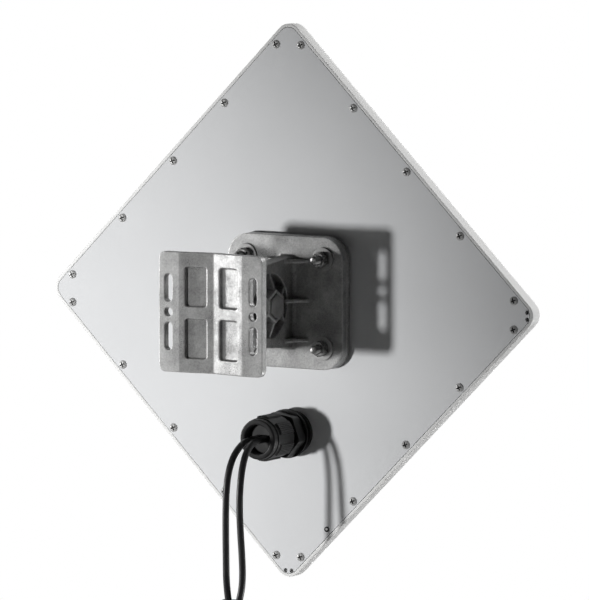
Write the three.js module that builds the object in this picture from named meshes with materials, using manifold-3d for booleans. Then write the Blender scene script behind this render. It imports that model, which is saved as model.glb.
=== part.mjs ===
// Outdoor wireless bridge: a square flat-panel antenna with its radio inside, stood on one corner, on a
// tilting cast bracket for a pole, with two data cables that leave through one gland.
//
// Millimetres, +Z up, +Y from the panel towards the pole. The origin is the middle of the pole plate's
// mounting face. Most pieces are drawn in the rear frame, whose +Y starts at the back plate's outer face.
import * as THREE from "three";
import { mergeVertices } from "three/addons/utils/BufferGeometryUtils.js";
import Module from "manifold-3d";

// Clearances
const FIT_GAP = 0.3;
const SEAT_GAP = 0.05;

// Panel housing
const HOUSING_SIDE = 371;
const HOUSING_DEPTH = 20;
const HOUSING_CORNER_RADIUS = 14;
const HOUSING_EDGE_RADIUS = 9;
const HOUSING_WALL = 3;
const FRONT_WALL = 2.5;
const LEDGE_WIDTH = 11;
const BACK_PLATE_THICKNESS = 2.5;
const GASKET_THICKNESS = 1.5;
const GASKET_MARGIN = 2;
const PANEL_OFFSET_X = 4.5;
const PANEL_OFFSET_Z = -1.5;

// Cover screws
const SCREWS_PER_SIDE = 5;
const SCREW_EDGE_INSET = 8.5;
const SCREW_CORNER_INSET = 27.1;
const SCREW_HEAD_RADIUS = 4;
const SCREW_HEAD_HEIGHT = 2.2;
const SCREW_SHANK_RADIUS = 2;
const SCREW_LENGTH = 9;
const SCREW_CROSS_LENGTH = 4.6;
const SCREW_CROSS_WIDTH = 1.1;
const SCREW_CROSS_DEPTH = 1.4;
const SCREW_CROSS_TURN = THREE.MathUtils.degToRad(23);

// Weep holes and vent
const WEEP_RADIUS = 2.1;
const WEEP_SPACING = 6.5;
const WEEP_CORNER_INSET = 2.4;
const WEEP_DEPTH = 4;
const VENT_FLANGE_RADIUS = 2.6;
const VENT_STEM_RADIUS = 1.7;
const VENT_BORE_RADIUS = 1.2;
const VENT_HEIGHT = 0.8;
const VENT_CHANNEL = 7;

// Boards
const ANTENNA_BOARD_THICKNESS = 1.6;
const ANTENNA_BOARD_MARGIN = 4;
const POST_HEIGHT = 0.6;
const POST_RADIUS = 4;
const RADIO_BOARD_WIDTH = 130;
const RADIO_BOARD_HEIGHT = 100;
const RADIO_BOARD_THICKNESS = 1.6;
const SHIELD_WIDTH = 62;
const SHIELD_HEIGHT = 46;
const SHIELD_DEPTH = 4;
const SHIELD_WALL = 0.6;
const JACK_WIDTH = 32;
const JACK_LENGTH = 19;
const JACK_HEADROOM = 1.65;
const JACK_PORT_WIDTH = 12;
const JACK_PORT_WALL = 1.4;
const JACK_PORT_LENGTH = 13.3;

// Adapter and tilt bracket
const BRACKET_REACH = 145;
const FLANGE_SIDE = 123;
const FLANGE_CORNER_RADIUS = 22;
const FLANGE_THICKNESS = 8;
const ADAPTER_THICKNESS = 6;
const STUD_INSET = 20.5;
const STUD_RADIUS = 4;
const STUD_HEAD_RADIUS = 7;
const STUD_HEAD_HEIGHT = 1.6;
const STUD_END_LENGTH = 8;
const WASHER_RADIUS = 11;
const WASHER_THICKNESS = 2;
const NUT_ACROSS_FLATS = 13;
const NUT_HEIGHT = 8;
const PIVOT_REACH = 55;
const CHEEK_OUTER_X = -9.2;
const CHEEK_THICKNESS = 13.7;
const CHEEK_ROOT_HEIGHT = 86;
const CHEEK_TIP_HEIGHT = 78;
const CHEEK_END_RADIUS = 36;
const HUB_RECESS_RADIUS = 30;
const HUB_RECESS_DEPTH = 9;
const HUB_RIB_COUNT = 6;
const HUB_RIB_THICKNESS = 2.4;
const HUB_RIB_START = 13.2;
const HUB_RIB_DROP = 1;
const COLLAR_ACROSS_FLATS = 27;
const COLLAR_HEIGHT = 15.4;
const COLLAR_POCKET_GAP = 1.2;
const COLLAR_POCKET_DEPTH = 6.5;
const CHEEK_FILLET = 2.5;
const GUSSET_THICKNESS = 3.4;
const GUSSET_TO_WASHER = 3.8;
const HIDDEN_GUSSET_TO_WASHER = 8.5;
const GUSSET_RISE = 16;
const GUSSET_PITCH = 36.5;
const GUSSET_MIDDLE_Z = 2;
const HIDDEN_GUSSET_RISE = 8;

// Pivot fasteners
const BOLT_RADIUS = 6;
const BOLT_ACROSS_FLATS = 19;
const BOLT_HEAD_HEIGHT = 7.5;
const BOLT_END_LENGTH = 5;
const PIVOT_WASHER_RADIUS = 12;
const PIVOT_WASHER_THICKNESS = 2;
const PIVOT_NUT_HEIGHT = 10;

// Pole bracket
const POLE_PLATE_SIDE = 109.6;
const POLE_PLATE_THICKNESS = 7.6;
const POLE_PLATE_CORNER_RADIUS = 6;
const VEE_HALF_WIDTH = 33.2;
const VEE_DEPTH = 5.4;
const SLOT_COLUMN_INSET = 9.9;
const SLOT_WIDTH = 7.5;
const SLOT_LENGTH = 25.5;
const SLOT_CENTRE_Z = 22;
const BAND_HOLE_RADIUS = 4;
const POCKET_CENTRE_X = 17.4;
const POCKET_WIDTH = 21.2;
const POCKET_HEIGHT = 36.5;
const POCKET_BRIDGE = 10.8;
const POCKET_DEPTH = 4.2;
const POCKET_CORNER_RADIUS = 2.5;
const ARM_THICKNESS = 11;
const ARM_RADIUS = 30;
const ARM_ROOT_HEIGHT = 92;
const ARM_SHOULDER = 8;
const ARM_GUSSET_PITCH = 38;
const ARM_GUSSET_RUN = 16;
const ARM_GUSSET_RISE = 22;

// Cable gland
const GLAND_OFFSET_X = -1.6;
const GLAND_DROP = 122.5;
const GLAND_SIDES = 36;
const GLAND_THREAD_RADIUS = 16;
const GLAND_BORE_RADIUS = 13.3;
const SEAL_RADIUS = 20;
const SEAL_THICKNESS = 4;
const BASE_HEX_ACROSS_FLATS = 41;
const BASE_HEX_TURN = 0.2;
const BASE_HEX_LENGTH = 8;
const COLLAR_DISC_RADIUS = 22.4;
const COLLAR_DISC_LENGTH = 3;
const BODY_HEX_ACROSS_FLATS = 39;
const BODY_HEX_TURN = 0.35;
const BODY_HEX_LENGTH = 13;
const NECK_RADIUS = 16.6;
const NECK_GAP_LENGTH = 4;
const NUT_THREAD_LENGTH = 19;
const GLAND_NUT_RADIUS = 19.5;
const GLAND_NUT_LENGTH = 28;
const GLAND_PAD_COUNT = 6;
const GLAND_PAD_SHARE = 0.52;
const GLAND_PAD_RIBS = 4;
const GLAND_RIB_SHARE = 0.84;
const GLAND_PAD_HEIGHT = 1.7;
const GLAND_MOUTH_LENGTH = 6;
const GLAND_MOUTH_RADIUS = 18.5;
const GLAND_MOUTH_BORE_RADIUS = 13.5;
const INSERT_RECESS = 9;
const INSERT_LENGTH = 12;
const CLAMP_RING_LENGTH = 4.4;
const LOCKNUT_HEIGHT = 5.5;
const LOCKNUT_ACROSS_FLATS = 40;

// Cables
const CABLE_RADIUS = 3.1;
const CABLE_SIDES = 10;
const COIL_TURNS = 4;
const COIL_PITCH = 6.4;
const COIL_MEAN_RADIUS = 31.5;
const COIL_SIDES = 32;
const TIE_WIDTH = 4.8;
const TIE_THICKNESS = 1.3;
const TIE_HEAD = 6;
const PLUG_WIDTH = 11.7;
const PLUG_DEPTH = 8;
const PLUG_LENGTH = 21.5;
const BOOT_RADIUS = 4.2;
const BOOT_LENGTH = 14;

// Each cable's hand-laid route from inside the gland to its coil, in the part's frame
const CABLE_ROUTES = {
  a: [
    [2.4, -101, -122.5],
    [2.4, -88, -122.5],
    [2.4, -73, -122.6],
    [2.2, -61, -124.2],
    [1.9, -49.5, -129.4],
    [1.5, -39.5, -138],
    [1.1, -32.5, -150],
    [0.8, -28.8, -164.4],
    [0.7, -27.6, -181.8],
    [0.8, -27.6, -202],
    [0.8, -28, -225],
    [0.4, -28, -245],
    [-0.8, -28, -258],
    [-2.6, -28, -269],
    [-3.8, -28, -277],
    [-4, -28, -283],
  ],
  b: [
    [-5.6, -101, -122.5],
    [-5.6, -88, -122.5],
    [-5.7, -73, -122.8],
    [-6.4, -61, -125],
    [-7.6, -50.5, -130.6],
    [-9.3, -42, -139.2],
    [-10.8, -35.6, -151],
    [-11.7, -31.8, -165.4],
    [-12.4, -30.2, -181.8],
    [-13.6, -29.8, -202],
    [-15.2, -29.4, -222],
    [-16.2, -28.8, -240],
    [-15.6, -28.2, -253],
    [-13.2, -28, -264],
    [-11.2, -28, -274],
    [-10.8, -28, -283],
  ],
};
const COIL_CENTRE_Z = -303.5;
const CABLE_STEPS = 22;

// Worked out from the sizes above
const PANEL_FACE_Y = -BRACKET_REACH;
const PLATE_SIDE = HOUSING_SIDE - 2 * HOUSING_WALL - 2 * FIT_GAP;
const PLATE_CORNER_RADIUS = HOUSING_CORNER_RADIUS - HOUSING_WALL;
const LEDGE_TOP = -BACK_PLATE_THICKNESS - GASKET_THICKNESS - 2 * SEAT_GAP;
const CAVITY_SIDE = HOUSING_SIDE - 2 * (HOUSING_WALL + LEDGE_WIDTH);
const CAVITY_FLOOR = -HOUSING_DEPTH + FRONT_WALL;
const SCREW_ROW = HOUSING_SIDE / 2 - SCREW_EDGE_INSET;
const SCREW_PITCH = (HOUSING_SIDE - 2 * SCREW_CORNER_INSET) / (SCREWS_PER_SIDE - 1);
const STUD_OFFSET = FLANGE_SIDE / 2 - STUD_INSET;
const FLANGE_TOP = ADAPTER_THICKNESS + FLANGE_THICKNESS + 2 * SEAT_GAP;
const MATING_X = CHEEK_OUTER_X + CHEEK_THICKNESS;
const GUSSET_RUN = STUD_OFFSET - WASHER_RADIUS - GUSSET_TO_WASHER + CHEEK_OUTER_X;
const HIDDEN_GUSSET_RUN = STUD_OFFSET - WASHER_RADIUS - HIDDEN_GUSSET_TO_WASHER - MATING_X;
const COLLAR_FACE_X = CHEEK_OUTER_X + HUB_RECESS_DEPTH - COLLAR_HEIGHT;
const BOLT_SEAT_X = COLLAR_FACE_X + COLLAR_POCKET_DEPTH;
const ARM_INNER_X = MATING_X + FIT_GAP;
const ARM_OUTER_X = ARM_INNER_X + ARM_THICKNESS;
const VEE_SLOPE = Math.atan2(VEE_DEPTH, VEE_HALF_WIDTH);
const FAR = 2 * HOUSING_SIDE;
const THROUGH = FAR / 10;

const wasm = await Module();
wasm.setup();

// Geometry helpers

/** Six times the signed volume inside an indexed mesh, to tell which way its faces point. */
function signedVolume(positions, index) {
  const [a, b, c] = [new THREE.Vector3(), new THREE.Vector3(), new THREE.Vector3()];
  let total = 0;
  for (let i = 0; i < index.length; i += 3) {
    a.fromArray(positions, 3 * index[i]);
    b.fromArray(positions, 3 * index[i + 1]);
    c.fromArray(positions, 3 * index[i + 2]);
    total += a.dot(b.cross(c));
  }
  return total;
}

/** The closed solid inside a geometry, with its faces turned outwards. */
function solidOf(geometry) {
  const bare = geometry.clone();
  bare.deleteAttribute("normal");
  bare.deleteAttribute("uv");
  const merged = mergeVertices(bare, 1e-3);
  const vertProperties = new Float32Array(merged.attributes.position.array);
  const triVerts = new Uint32Array(merged.index.array);
  if (signedVolume(vertProperties, triVerts) < 0) triVerts.reverse();
  return new wasm.Manifold(new wasm.Mesh({ numProp: 3, vertProperties, triVerts }));
}

/** A three.js geometry with a solid's own vertices and triangles. */
function geometryOf(solid) {
  const { vertProperties, triVerts } = solid.getMesh();
  const geometry = new THREE.BufferGeometry();
  geometry.setAttribute("position", new THREE.BufferAttribute(new Float32Array(vertProperties), 3));
  geometry.setIndex(new THREE.BufferAttribute(new Uint32Array(triVerts), 1));
  geometry.computeVertexNormals();
  return geometry;
}

/** A solid less each of the others. */
function cut(solid, ...tools) {
  return tools.reduce((rest, tool) => rest.subtract(tool), solid);
}

/** Several solids made one. */
function join(first, ...others) {
  return others.reduce((whole, other) => whole.add(other), first);
}

/** A rectangle with rounded corners, about the origin. */
function roundedRectangle(width, height, radius) {
  const x = width / 2 - radius;
  const y = height / 2 - radius;
  const shape = new THREE.Shape();
  shape.absarc(x, y, radius, 0, Math.PI / 2);
  shape.absarc(-x, y, radius, Math.PI / 2, Math.PI);
  shape.absarc(-x, -y, radius, Math.PI, 1.5 * Math.PI);
  shape.absarc(x, -y, radius, 1.5 * Math.PI, 2 * Math.PI);
  return shape;
}

/** A polygon through the given points. */
function polygon(points) {
  return new THREE.Shape(points.map(([x, y]) => new THREE.Vector2(x, y)));
}

/** A shape drawn in X and Z, extruded from low to high along Y. */
function slab(shape, low, high, curveSegments = 6) {
  const geometry = new THREE.ExtrudeGeometry(shape, {
    depth: high - low,
    bevelEnabled: false,
    curveSegments,
  });
  return solidOf(geometry.rotateX(Math.PI / 2).translate(0, high, 0));
}

/** A shape drawn in Y and Z, extruded from low to high along X. */
function crossSlab(shape, low, high, curveSegments = 12) {
  const geometry = new THREE.ExtrudeGeometry(shape, {
    depth: high - low,
    bevelEnabled: false,
    curveSegments,
  });
  return solidOf(geometry.rotateX(Math.PI / 2).rotateZ(Math.PI / 2).translate(low, 0, 0));
}

/** A shape drawn in X and Y, extruded from low to high along Z. */
function upright(shape, low, high, curveSegments = 6) {
  const settings = { depth: high - low, bevelEnabled: false, curveSegments };
  return solidOf(new THREE.ExtrudeGeometry(shape, settings).translate(0, 0, low));
}

/** A straight round or many-sided bar along Y. */
function bar(radius, low, high, sides = 12, turn = 0) {
  const geometry = new THREE.CylinderGeometry(radius, radius, high - low, sides);
  return solidOf(geometry.rotateY(turn).translate(0, (low + high) / 2, 0));
}

/** A hexagonal bar along Y, with two of its flats facing up and down once turned by 30 degrees. */
function hexBar(acrossFlats, low, high, turn = 0) {
  return bar(acrossFlats / Math.sqrt(3), low, high, 6, turn);
}

/** A block between two corners. */
function block([x0, y0, z0], [x1, y1, z1]) {
  const geometry = new THREE.BoxGeometry(x1 - x0, y1 - y0, z1 - z0);
  return solidOf(geometry.translate((x0 + x1) / 2, (y0 + y1) / 2, (z0 + z1) / 2));
}

/** A profile of radius and height pairs, turned about Y. */
function turned(profile, sides) {
  const points = profile.map(([radius, height]) => new THREE.Vector2(radius, height));
  return solidOf(new THREE.LatheGeometry(points, sides));
}

/** A ring about Y of rectangular section. */
function ring(inner, outer, low, high, sides) {
  return turned(
    [
      [inner, low],
      [outer, low],
      [outer, high],
      [inner, high],
      [inner, low],
    ],
    sides,
  );
}

/** A material from its colour, roughness and metalness. */
function finish(color, roughness, metalness) {
  return new THREE.MeshStandardMaterial({ color, roughness, metalness });
}

/** A named mesh of a solid, put into a group. */
function addPiece(group, name, solid, material, position = [0, 0, 0]) {
  const mesh = new THREE.Mesh(geometryOf(solid), material.clone());
  mesh.name = name;
  mesh.position.set(...position);
  group.add(mesh);
  return mesh;
}

/** The four corners of a square pattern in X and Z. */
function corners(offset) {
  return [
    [offset, offset],
    [-offset, offset],
    [-offset, -offset],
    [offset, -offset],
  ];
}

/** A place beside the panel's centre, in the axes of its own sides, which are turned by 45 degrees. */
function inPanelAxes(x, z) {
  const right = (x - PANEL_OFFSET_X) * Math.SQRT1_2;
  const up = (z - PANEL_OFFSET_Z) * Math.SQRT1_2;
  return [right + up, up - right];
}

/** Where the cover screws stand, in the panel's own axes. */
function screwPlaces() {
  const places = [];
  for (let side = 0; side < 4; side += 1) {
    const angle = (side * Math.PI) / 2;
    for (let step = 0; step < SCREWS_PER_SIDE; step += 1) {
      const along = (step - (SCREWS_PER_SIDE - 1) / 2) * SCREW_PITCH;
      places.push([
        SCREW_ROW * Math.cos(angle) - along * Math.sin(angle),
        SCREW_ROW * Math.sin(angle) + along * Math.cos(angle),
      ]);
    }
  }
  return places;
}

const SCREW_PLACES = screwPlaces();
const VENT_PLACE = [-SCREW_ROW, -SCREW_PITCH * 1.5];

/** Where the weep holes stand: a pair across each of two corners, the bottom one and the one at -X. */
function weepPlaces() {
  const tip = (PLATE_SIDE / 2) * Math.SQRT2 - PLATE_CORNER_RADIUS * (Math.SQRT2 - 1);
  const reach = (tip - WEEP_CORNER_INSET) * Math.SQRT1_2;
  const aside = (WEEP_SPACING / 2) * Math.SQRT1_2;
  return [
    [-reach + aside, -reach - aside],
    [-reach - aside, -reach + aside],
    [-reach - aside, reach - aside],
    [-reach + aside, reach + aside],
  ];
}

const WEEP_PLACES = weepPlaces();

// Finishes
const WHITE_PLASTIC = finish(0xf2f2f0, 0.45, 0);
const SATIN_ALUMINIUM = finish(0xc9cbce, 0.38, 0.9);
const CAST_ALUMINIUM = finish(0x9a9a98, 0.6, 0.7);
const BRIGHT_STEEL = finish(0xc4c4c2, 0.25, 1);
const BLACK_NYLON = finish(0x1a1a1a, 0.5, 0);
const BLACK_RUBBER = finish(0x202020, 0.8, 0);
const GREY_RUBBER = finish(0x484848, 0.8, 0);
const BOARD_GREEN = finish(0x1f5a38, 0.6, 0);
const TINPLATE = finish(0xb8b8b4, 0.3, 1);
const CLEAR_PLASTIC = finish(0xd8d8d8, 0.2, 0);

// Groups: the rear frame starts at the back plate's outer face, and the panel's own axes are turned in it
const bridge = new THREE.Group();
const rear = new THREE.Group();
rear.position.y = PANEL_FACE_Y;
bridge.add(rear);
const panel = new THREE.Group();
panel.position.set(PANEL_OFFSET_X, 0, PANEL_OFFSET_Z);
panel.rotation.y = -Math.PI / 4;
rear.add(panel);

// Panel: radome tray, back plate, gasket, boards and screws

function radome() {
  const side = HOUSING_SIDE - 2 * HOUSING_EDGE_RADIUS;
  const shape = roundedRectangle(side, side, HOUSING_CORNER_RADIUS - HOUSING_EDGE_RADIUS);
  const geometry = new THREE.ExtrudeGeometry(shape, {
    depth: HOUSING_DEPTH,
    bevelThickness: HOUSING_EDGE_RADIUS,
    bevelSize: HOUSING_EDGE_RADIUS,
    bevelSegments: 4,
    curveSegments: 5,
  });
  const front = -HOUSING_DEPTH;
  const seatSide = PLATE_SIDE + 2 * FIT_GAP;
  geometry.translate(0, 0, HOUSING_EDGE_RADIUS);
  const outer = solidOf(geometry.rotateX(-Math.PI / 2).translate(0, front, 0));
  const tray = cut(
    outer,
    block([-FAR, 0, -FAR], [FAR, FAR, FAR]),
    slab(roundedRectangle(CAVITY_SIDE, CAVITY_SIDE, HOUSING_WALL), CAVITY_FLOOR, 1),
    slab(roundedRectangle(seatSide, seatSide, PLATE_CORNER_RADIUS), LEDGE_TOP, 1),
  );
  const posts = corners(CAVITY_SIDE / 4).map(([x, z]) =>
    bar(POST_RADIUS, CAVITY_FLOOR - SEAT_GAP, CAVITY_FLOOR + POST_HEIGHT, 10).translate([x, 0, z]),
  );
  const pilots = SCREW_PLACES.map(([x, z]) =>
    bar(SCREW_SHANK_RADIUS + 2 * FIT_GAP, -SCREW_LENGTH - FIT_GAP, 1, 6).translate([x, 0, z]),
  );
  const weeps = WEEP_PLACES.map(([x, z]) =>
    bar(WEEP_RADIUS, LEDGE_TOP - WEEP_DEPTH, 1, 12).translate([x, 0, z]),
  );
  const [ventX, ventZ] = VENT_PLACE;
  const half = VENT_CHANNEL / 2;
  const channel = block(
    [ventX - half, LEDGE_TOP - VENT_CHANNEL, ventZ - half],
    [-CAVITY_SIDE / 2 + 1, 1, ventZ + half],
  );
  return cut(join(tray, ...posts), ...pilots, ...weeps, channel);
}

function backPlate() {
  const plate = slab(
    roundedRectangle(PLATE_SIDE, PLATE_SIDE, PLATE_CORNER_RADIUS), -BACK_PLATE_THICKNESS, 0);
  const hole = (radius, sides, [x, z]) =>
    bar(radius, -BACK_PLATE_THICKNESS - 1, 1, sides).translate([x, 0, z]);
  const studs = corners(STUD_OFFSET).map(([x, z]) => inPanelAxes(x, z));
  return cut(
    plate,
    ...SCREW_PLACES.map((place) => hole(SCREW_SHANK_RADIUS + 2 * FIT_GAP, 6, place)),
    ...WEEP_PLACES.map((place) => hole(WEEP_RADIUS, 12, place)),
    ...studs.map((place) => hole(STUD_RADIUS + FIT_GAP, 12, place)),
    hole(VENT_STEM_RADIUS + FIT_GAP, 10, VENT_PLACE),
    hole(GLAND_THREAD_RADIUS + FIT_GAP, 32, inPanelAxes(GLAND_OFFSET_X, -GLAND_DROP)),
  );
}

function perimeterGasket() {
  const outer = PLATE_SIDE - 2 * GASKET_MARGIN;
  const inner = CAVITY_SIDE + 2 * GASKET_MARGIN;
  const low = LEDGE_TOP + SEAT_GAP;
  const shape = roundedRectangle(outer, outer, HOUSING_CORNER_RADIUS);
  const band = slab(shape, low, low + GASKET_THICKNESS, 4);
  const hole = (radius, [x, z]) => bar(radius, low - 1, 1, 6).translate([x, 0, z]);
  return cut(
    band,
    slab(roundedRectangle(inner, inner, HOUSING_WALL), low - 1, 1),
    ...SCREW_PLACES.map((place) => hole(SCREW_SHANK_RADIUS + 2 * FIT_GAP, place)),
    hole(VENT_STEM_RADIUS + 2 * FIT_GAP, VENT_PLACE),
  );
}

function coverScrew() {
  const body = turned(
    [
      [0, -SCREW_LENGTH],
      [SCREW_SHANK_RADIUS, -SCREW_LENGTH],
      [SCREW_SHANK_RADIUS, SEAT_GAP],
      [SCREW_HEAD_RADIUS, SEAT_GAP],
      [SCREW_HEAD_RADIUS, SCREW_HEAD_HEIGHT / 2],
      [SCREW_HEAD_RADIUS * 0.7, SCREW_HEAD_HEIGHT],
      [0, SCREW_HEAD_HEIGHT],
    ],
    8,
  );
  const length = SCREW_CROSS_LENGTH / 2;
  const width = SCREW_CROSS_WIDTH / 2;
  const low = SCREW_HEAD_HEIGHT - SCREW_CROSS_DEPTH;
  const high = SCREW_HEAD_HEIGHT + 1;
  const cross = polygon([
    [length, -width], [length, width], [width, width], [width, length],
    [-width, length], [-width, width], [-length, width], [-length, -width],
    [-width, -width], [-width, -length], [width, -length], [width, -width],
  ]);
  return cut(body, slab(cross, low, high)).rotate([0, THREE.MathUtils.radToDeg(SCREW_CROSS_TURN), 0]);
}

addPiece(panel, "radome", radome(), WHITE_PLASTIC);
addPiece(panel, "back_plate", backPlate(), SATIN_ALUMINIUM);
addPiece(panel, "perimeter_gasket", perimeterGasket(), BLACK_RUBBER);
const screwSolid = coverScrew();
SCREW_PLACES.forEach(([x, z], index) => {
  const name = `cover_screw_${String(index + 1).padStart(2, "0")}`;
  addPiece(panel, name, screwSolid, BRIGHT_STEEL, [x, 0, z]);
});

const ventPlug = turned(
  [
    [VENT_BORE_RADIUS, -BACK_PLATE_THICKNESS],
    [VENT_STEM_RADIUS, -BACK_PLATE_THICKNESS],
    [VENT_STEM_RADIUS, SEAT_GAP],
    [VENT_FLANGE_RADIUS, SEAT_GAP],
    [VENT_FLANGE_RADIUS, VENT_HEIGHT],
    [VENT_BORE_RADIUS, VENT_HEIGHT],
    [VENT_BORE_RADIUS, -BACK_PLATE_THICKNESS],
  ],
  14,
);
addPiece(panel, "vent_plug", ventPlug, BLACK_NYLON, [VENT_PLACE[0], 0, VENT_PLACE[1]]);

const antennaBoardLow = CAVITY_FLOOR + POST_HEIGHT + SEAT_GAP;
const antennaBoardSide = CAVITY_SIDE - 2 * ANTENNA_BOARD_MARGIN;
const antennaBoard = slab(
  roundedRectangle(antennaBoardSide, antennaBoardSide, ANTENNA_BOARD_MARGIN),
  antennaBoardLow,
  antennaBoardLow + ANTENNA_BOARD_THICKNESS,
  3,
);
addPiece(panel, "antenna_board", antennaBoard, BOARD_GREEN);

// The radio board stands upright behind the antenna board, with its jack's ports facing down to the gland
const radioBoardLow = antennaBoardLow + ANTENNA_BOARD_THICKNESS + SEAT_GAP;
const radioBoardTop = radioBoardLow + RADIO_BOARD_THICKNESS;
const radioBoard = block(
  [-RADIO_BOARD_WIDTH / 2, radioBoardLow, -RADIO_BOARD_HEIGHT / 2],
  [RADIO_BOARD_WIDTH / 2, radioBoardTop, RADIO_BOARD_HEIGHT / 2],
);
addPiece(rear, "radio_board", radioBoard, BOARD_GREEN);

function shieldCan() {
  const low = radioBoardTop + SEAT_GAP;
  const [x, z] = [SHIELD_WIDTH / 2, SHIELD_HEIGHT / 2];
  return cut(
    block([-x, low, -z], [x, low + SHIELD_DEPTH, z]),
    block(
      [-x + SHIELD_WALL, low - 1, -z + SHIELD_WALL],
      [x - SHIELD_WALL, low + SHIELD_DEPTH - SHIELD_WALL, z - SHIELD_WALL],
    ),
  );
}

addPiece(rear, "shield_can", shieldCan(), TINPLATE, [0, 0, SHIELD_HEIGHT / 4]);

/** A twin jack that stands on the radio board and ends a headroom short of the back plate. */
function ethernetJack() {
  const low = radioBoardTop + SEAT_GAP;
  const high = -BACK_PLATE_THICKNESS - JACK_HEADROOM;
  const bottom = -RADIO_BOARD_HEIGHT / 2;
  const ports = [-1, 1].map((side) => {
    const middle = (side * JACK_WIDTH) / 4;
    return block(
      [middle - JACK_PORT_WIDTH / 2, low + JACK_PORT_WALL, bottom - 1],
      [middle + JACK_PORT_WIDTH / 2, high - JACK_PORT_WALL, bottom + JACK_PORT_LENGTH],
    );
  });
  return cut(
    block([-JACK_WIDTH / 2, low, bottom], [JACK_WIDTH / 2, high, bottom + JACK_LENGTH]),
    ...ports,
  );
}

addPiece(rear, "dual_ethernet_jack", ethernetJack(), TINPLATE);

// Adapter, tilt bracket and its fasteners

function studHoles(low, high) {
  return corners(STUD_OFFSET).map(([x, z]) =>
    bar(STUD_RADIUS + FIT_GAP, low, high, 12).translate([x, 0, z]),
  );
}

function adapterPlate() {
  const shape = roundedRectangle(FLANGE_SIDE, FLANGE_SIDE, FLANGE_CORNER_RADIUS);
  return cut(slab(shape, SEAT_GAP, ADAPTER_THICKNESS, 10), ...studHoles(-1, ADAPTER_THICKNESS + 1));
}

/** A triangular fin on the flange: it runs out along X from a face at rootX and rises along Y. */
function flangeFin(rootX, run, rise, z) {
  const foot = FLANGE_TOP - 1;
  const shape = polygon([
    [rootX - Math.sign(run), foot],
    [rootX + run, foot],
    [rootX + run, FLANGE_TOP],
    [rootX, FLANGE_TOP + rise],
    [rootX - Math.sign(run), FLANGE_TOP + rise],
  ]);
  return upright(shape, z - GUSSET_THICKNESS / 2, z + GUSSET_THICKNESS / 2);
}

/** A hexagonal bar along X about the pivot. */
function pivotHex(acrossFlats, low, high) {
  const hex = hexBar(acrossFlats, low, high).rotate([0, 0, -90]);
  return hex.translate([0, PIVOT_REACH, 0]);
}

/** A round bar along X about the pivot. */
function pivotBar(radius, low, high, sides) {
  return bar(radius, low, high, sides).rotate([0, 0, -90]).translate([0, PIVOT_REACH, 0]);
}

function cheekOutline() {
  const foot = FLANGE_TOP - 1;
  const root = CHEEK_ROOT_HEIGHT / 2;
  const tip = CHEEK_TIP_HEIGHT / 2;
  const shape = new THREE.Shape();
  shape.moveTo(foot, -root);
  shape.lineTo(PIVOT_REACH, -tip);
  shape.absarc(PIVOT_REACH, CHEEK_END_RADIUS - tip, CHEEK_END_RADIUS, -Math.PI / 2, 0, false);
  shape.absarc(PIVOT_REACH, tip - CHEEK_END_RADIUS, CHEEK_END_RADIUS, 0, Math.PI / 2, false);
  shape.lineTo(foot, root);
  return shape;
}

function panelBracket() {
  const flangeLow = ADAPTER_THICKNESS + SEAT_GAP;
  const flange = slab(
    roundedRectangle(FLANGE_SIDE, FLANGE_SIDE, FLANGE_CORNER_RADIUS), flangeLow, FLANGE_TOP, 10);
  const cheek = crossSlab(cheekOutline(), CHEEK_OUTER_X, MATING_X);
  const recessFloor = CHEEK_OUTER_X + HUB_RECESS_DEPTH;
  const recess = pivotBar(HUB_RECESS_RADIUS, CHEEK_OUTER_X - 1, recessFloor, 40);
  const collar = pivotHex(COLLAR_ACROSS_FLATS, COLLAR_FACE_X, recessFloor + 1);
  const ribShape = polygon([
    [recessFloor + 1, HUB_RIB_START],
    [recessFloor + 1, HUB_RECESS_RADIUS + 1],
    [CHEEK_OUTER_X + HUB_RIB_DROP, HUB_RECESS_RADIUS + 1],
    [COLLAR_FACE_X + HUB_RIB_DROP, HUB_RIB_START],
  ]);
  const rib = upright(ribShape, -HUB_RIB_THICKNESS / 2, HUB_RIB_THICKNESS / 2);
  const pocket = pivotHex(
    BOLT_ACROSS_FLATS + 2 * COLLAR_POCKET_GAP, COLLAR_FACE_X - 1, BOLT_SEAT_X);
  const ribs = [];
  for (let index = 0; index < HUB_RIB_COUNT; index += 1) {
    ribs.push(rib.rotate([((index + 0.5) * 360) / HUB_RIB_COUNT, 0, 0]).translate([0, PIVOT_REACH, 0]));
  }
  const fins = [1, 0, -1].flatMap((step) => {
    const z = GUSSET_MIDDLE_Z + step * GUSSET_PITCH;
    return [
      flangeFin(CHEEK_OUTER_X, -GUSSET_RUN, GUSSET_RISE, z),
      flangeFin(MATING_X, HIDDEN_GUSSET_RUN, HIDDEN_GUSSET_RISE, z),
    ];
  });
  const filletShape = polygon([
    [CHEEK_OUTER_X + 1, FLANGE_TOP - 1],
    [CHEEK_OUTER_X - CHEEK_FILLET - 1, FLANGE_TOP - 1],
    [CHEEK_OUTER_X, FLANGE_TOP + CHEEK_FILLET],
    [CHEEK_OUTER_X + 1, FLANGE_TOP + CHEEK_FILLET],
  ]);
  const filletEnd = CHEEK_ROOT_HEIGHT / 2 - 1;
  const fillet = upright(filletShape, -filletEnd, filletEnd);
  const casting = join(cut(join(flange, cheek), recess), collar, fillet, ...ribs, ...fins);
  return cut(
    casting,
    pocket,
    pivotBar(BOLT_RADIUS + FIT_GAP, COLLAR_FACE_X - 1, MATING_X + 1, 20),
    ...studHoles(0, FLANGE_TOP + 1),
  );
}

addPiece(rear, "adapter_plate", adapterPlate(), CAST_ALUMINIUM);
addPiece(rear, "panel_bracket", panelBracket(), CAST_ALUMINIUM);

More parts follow.
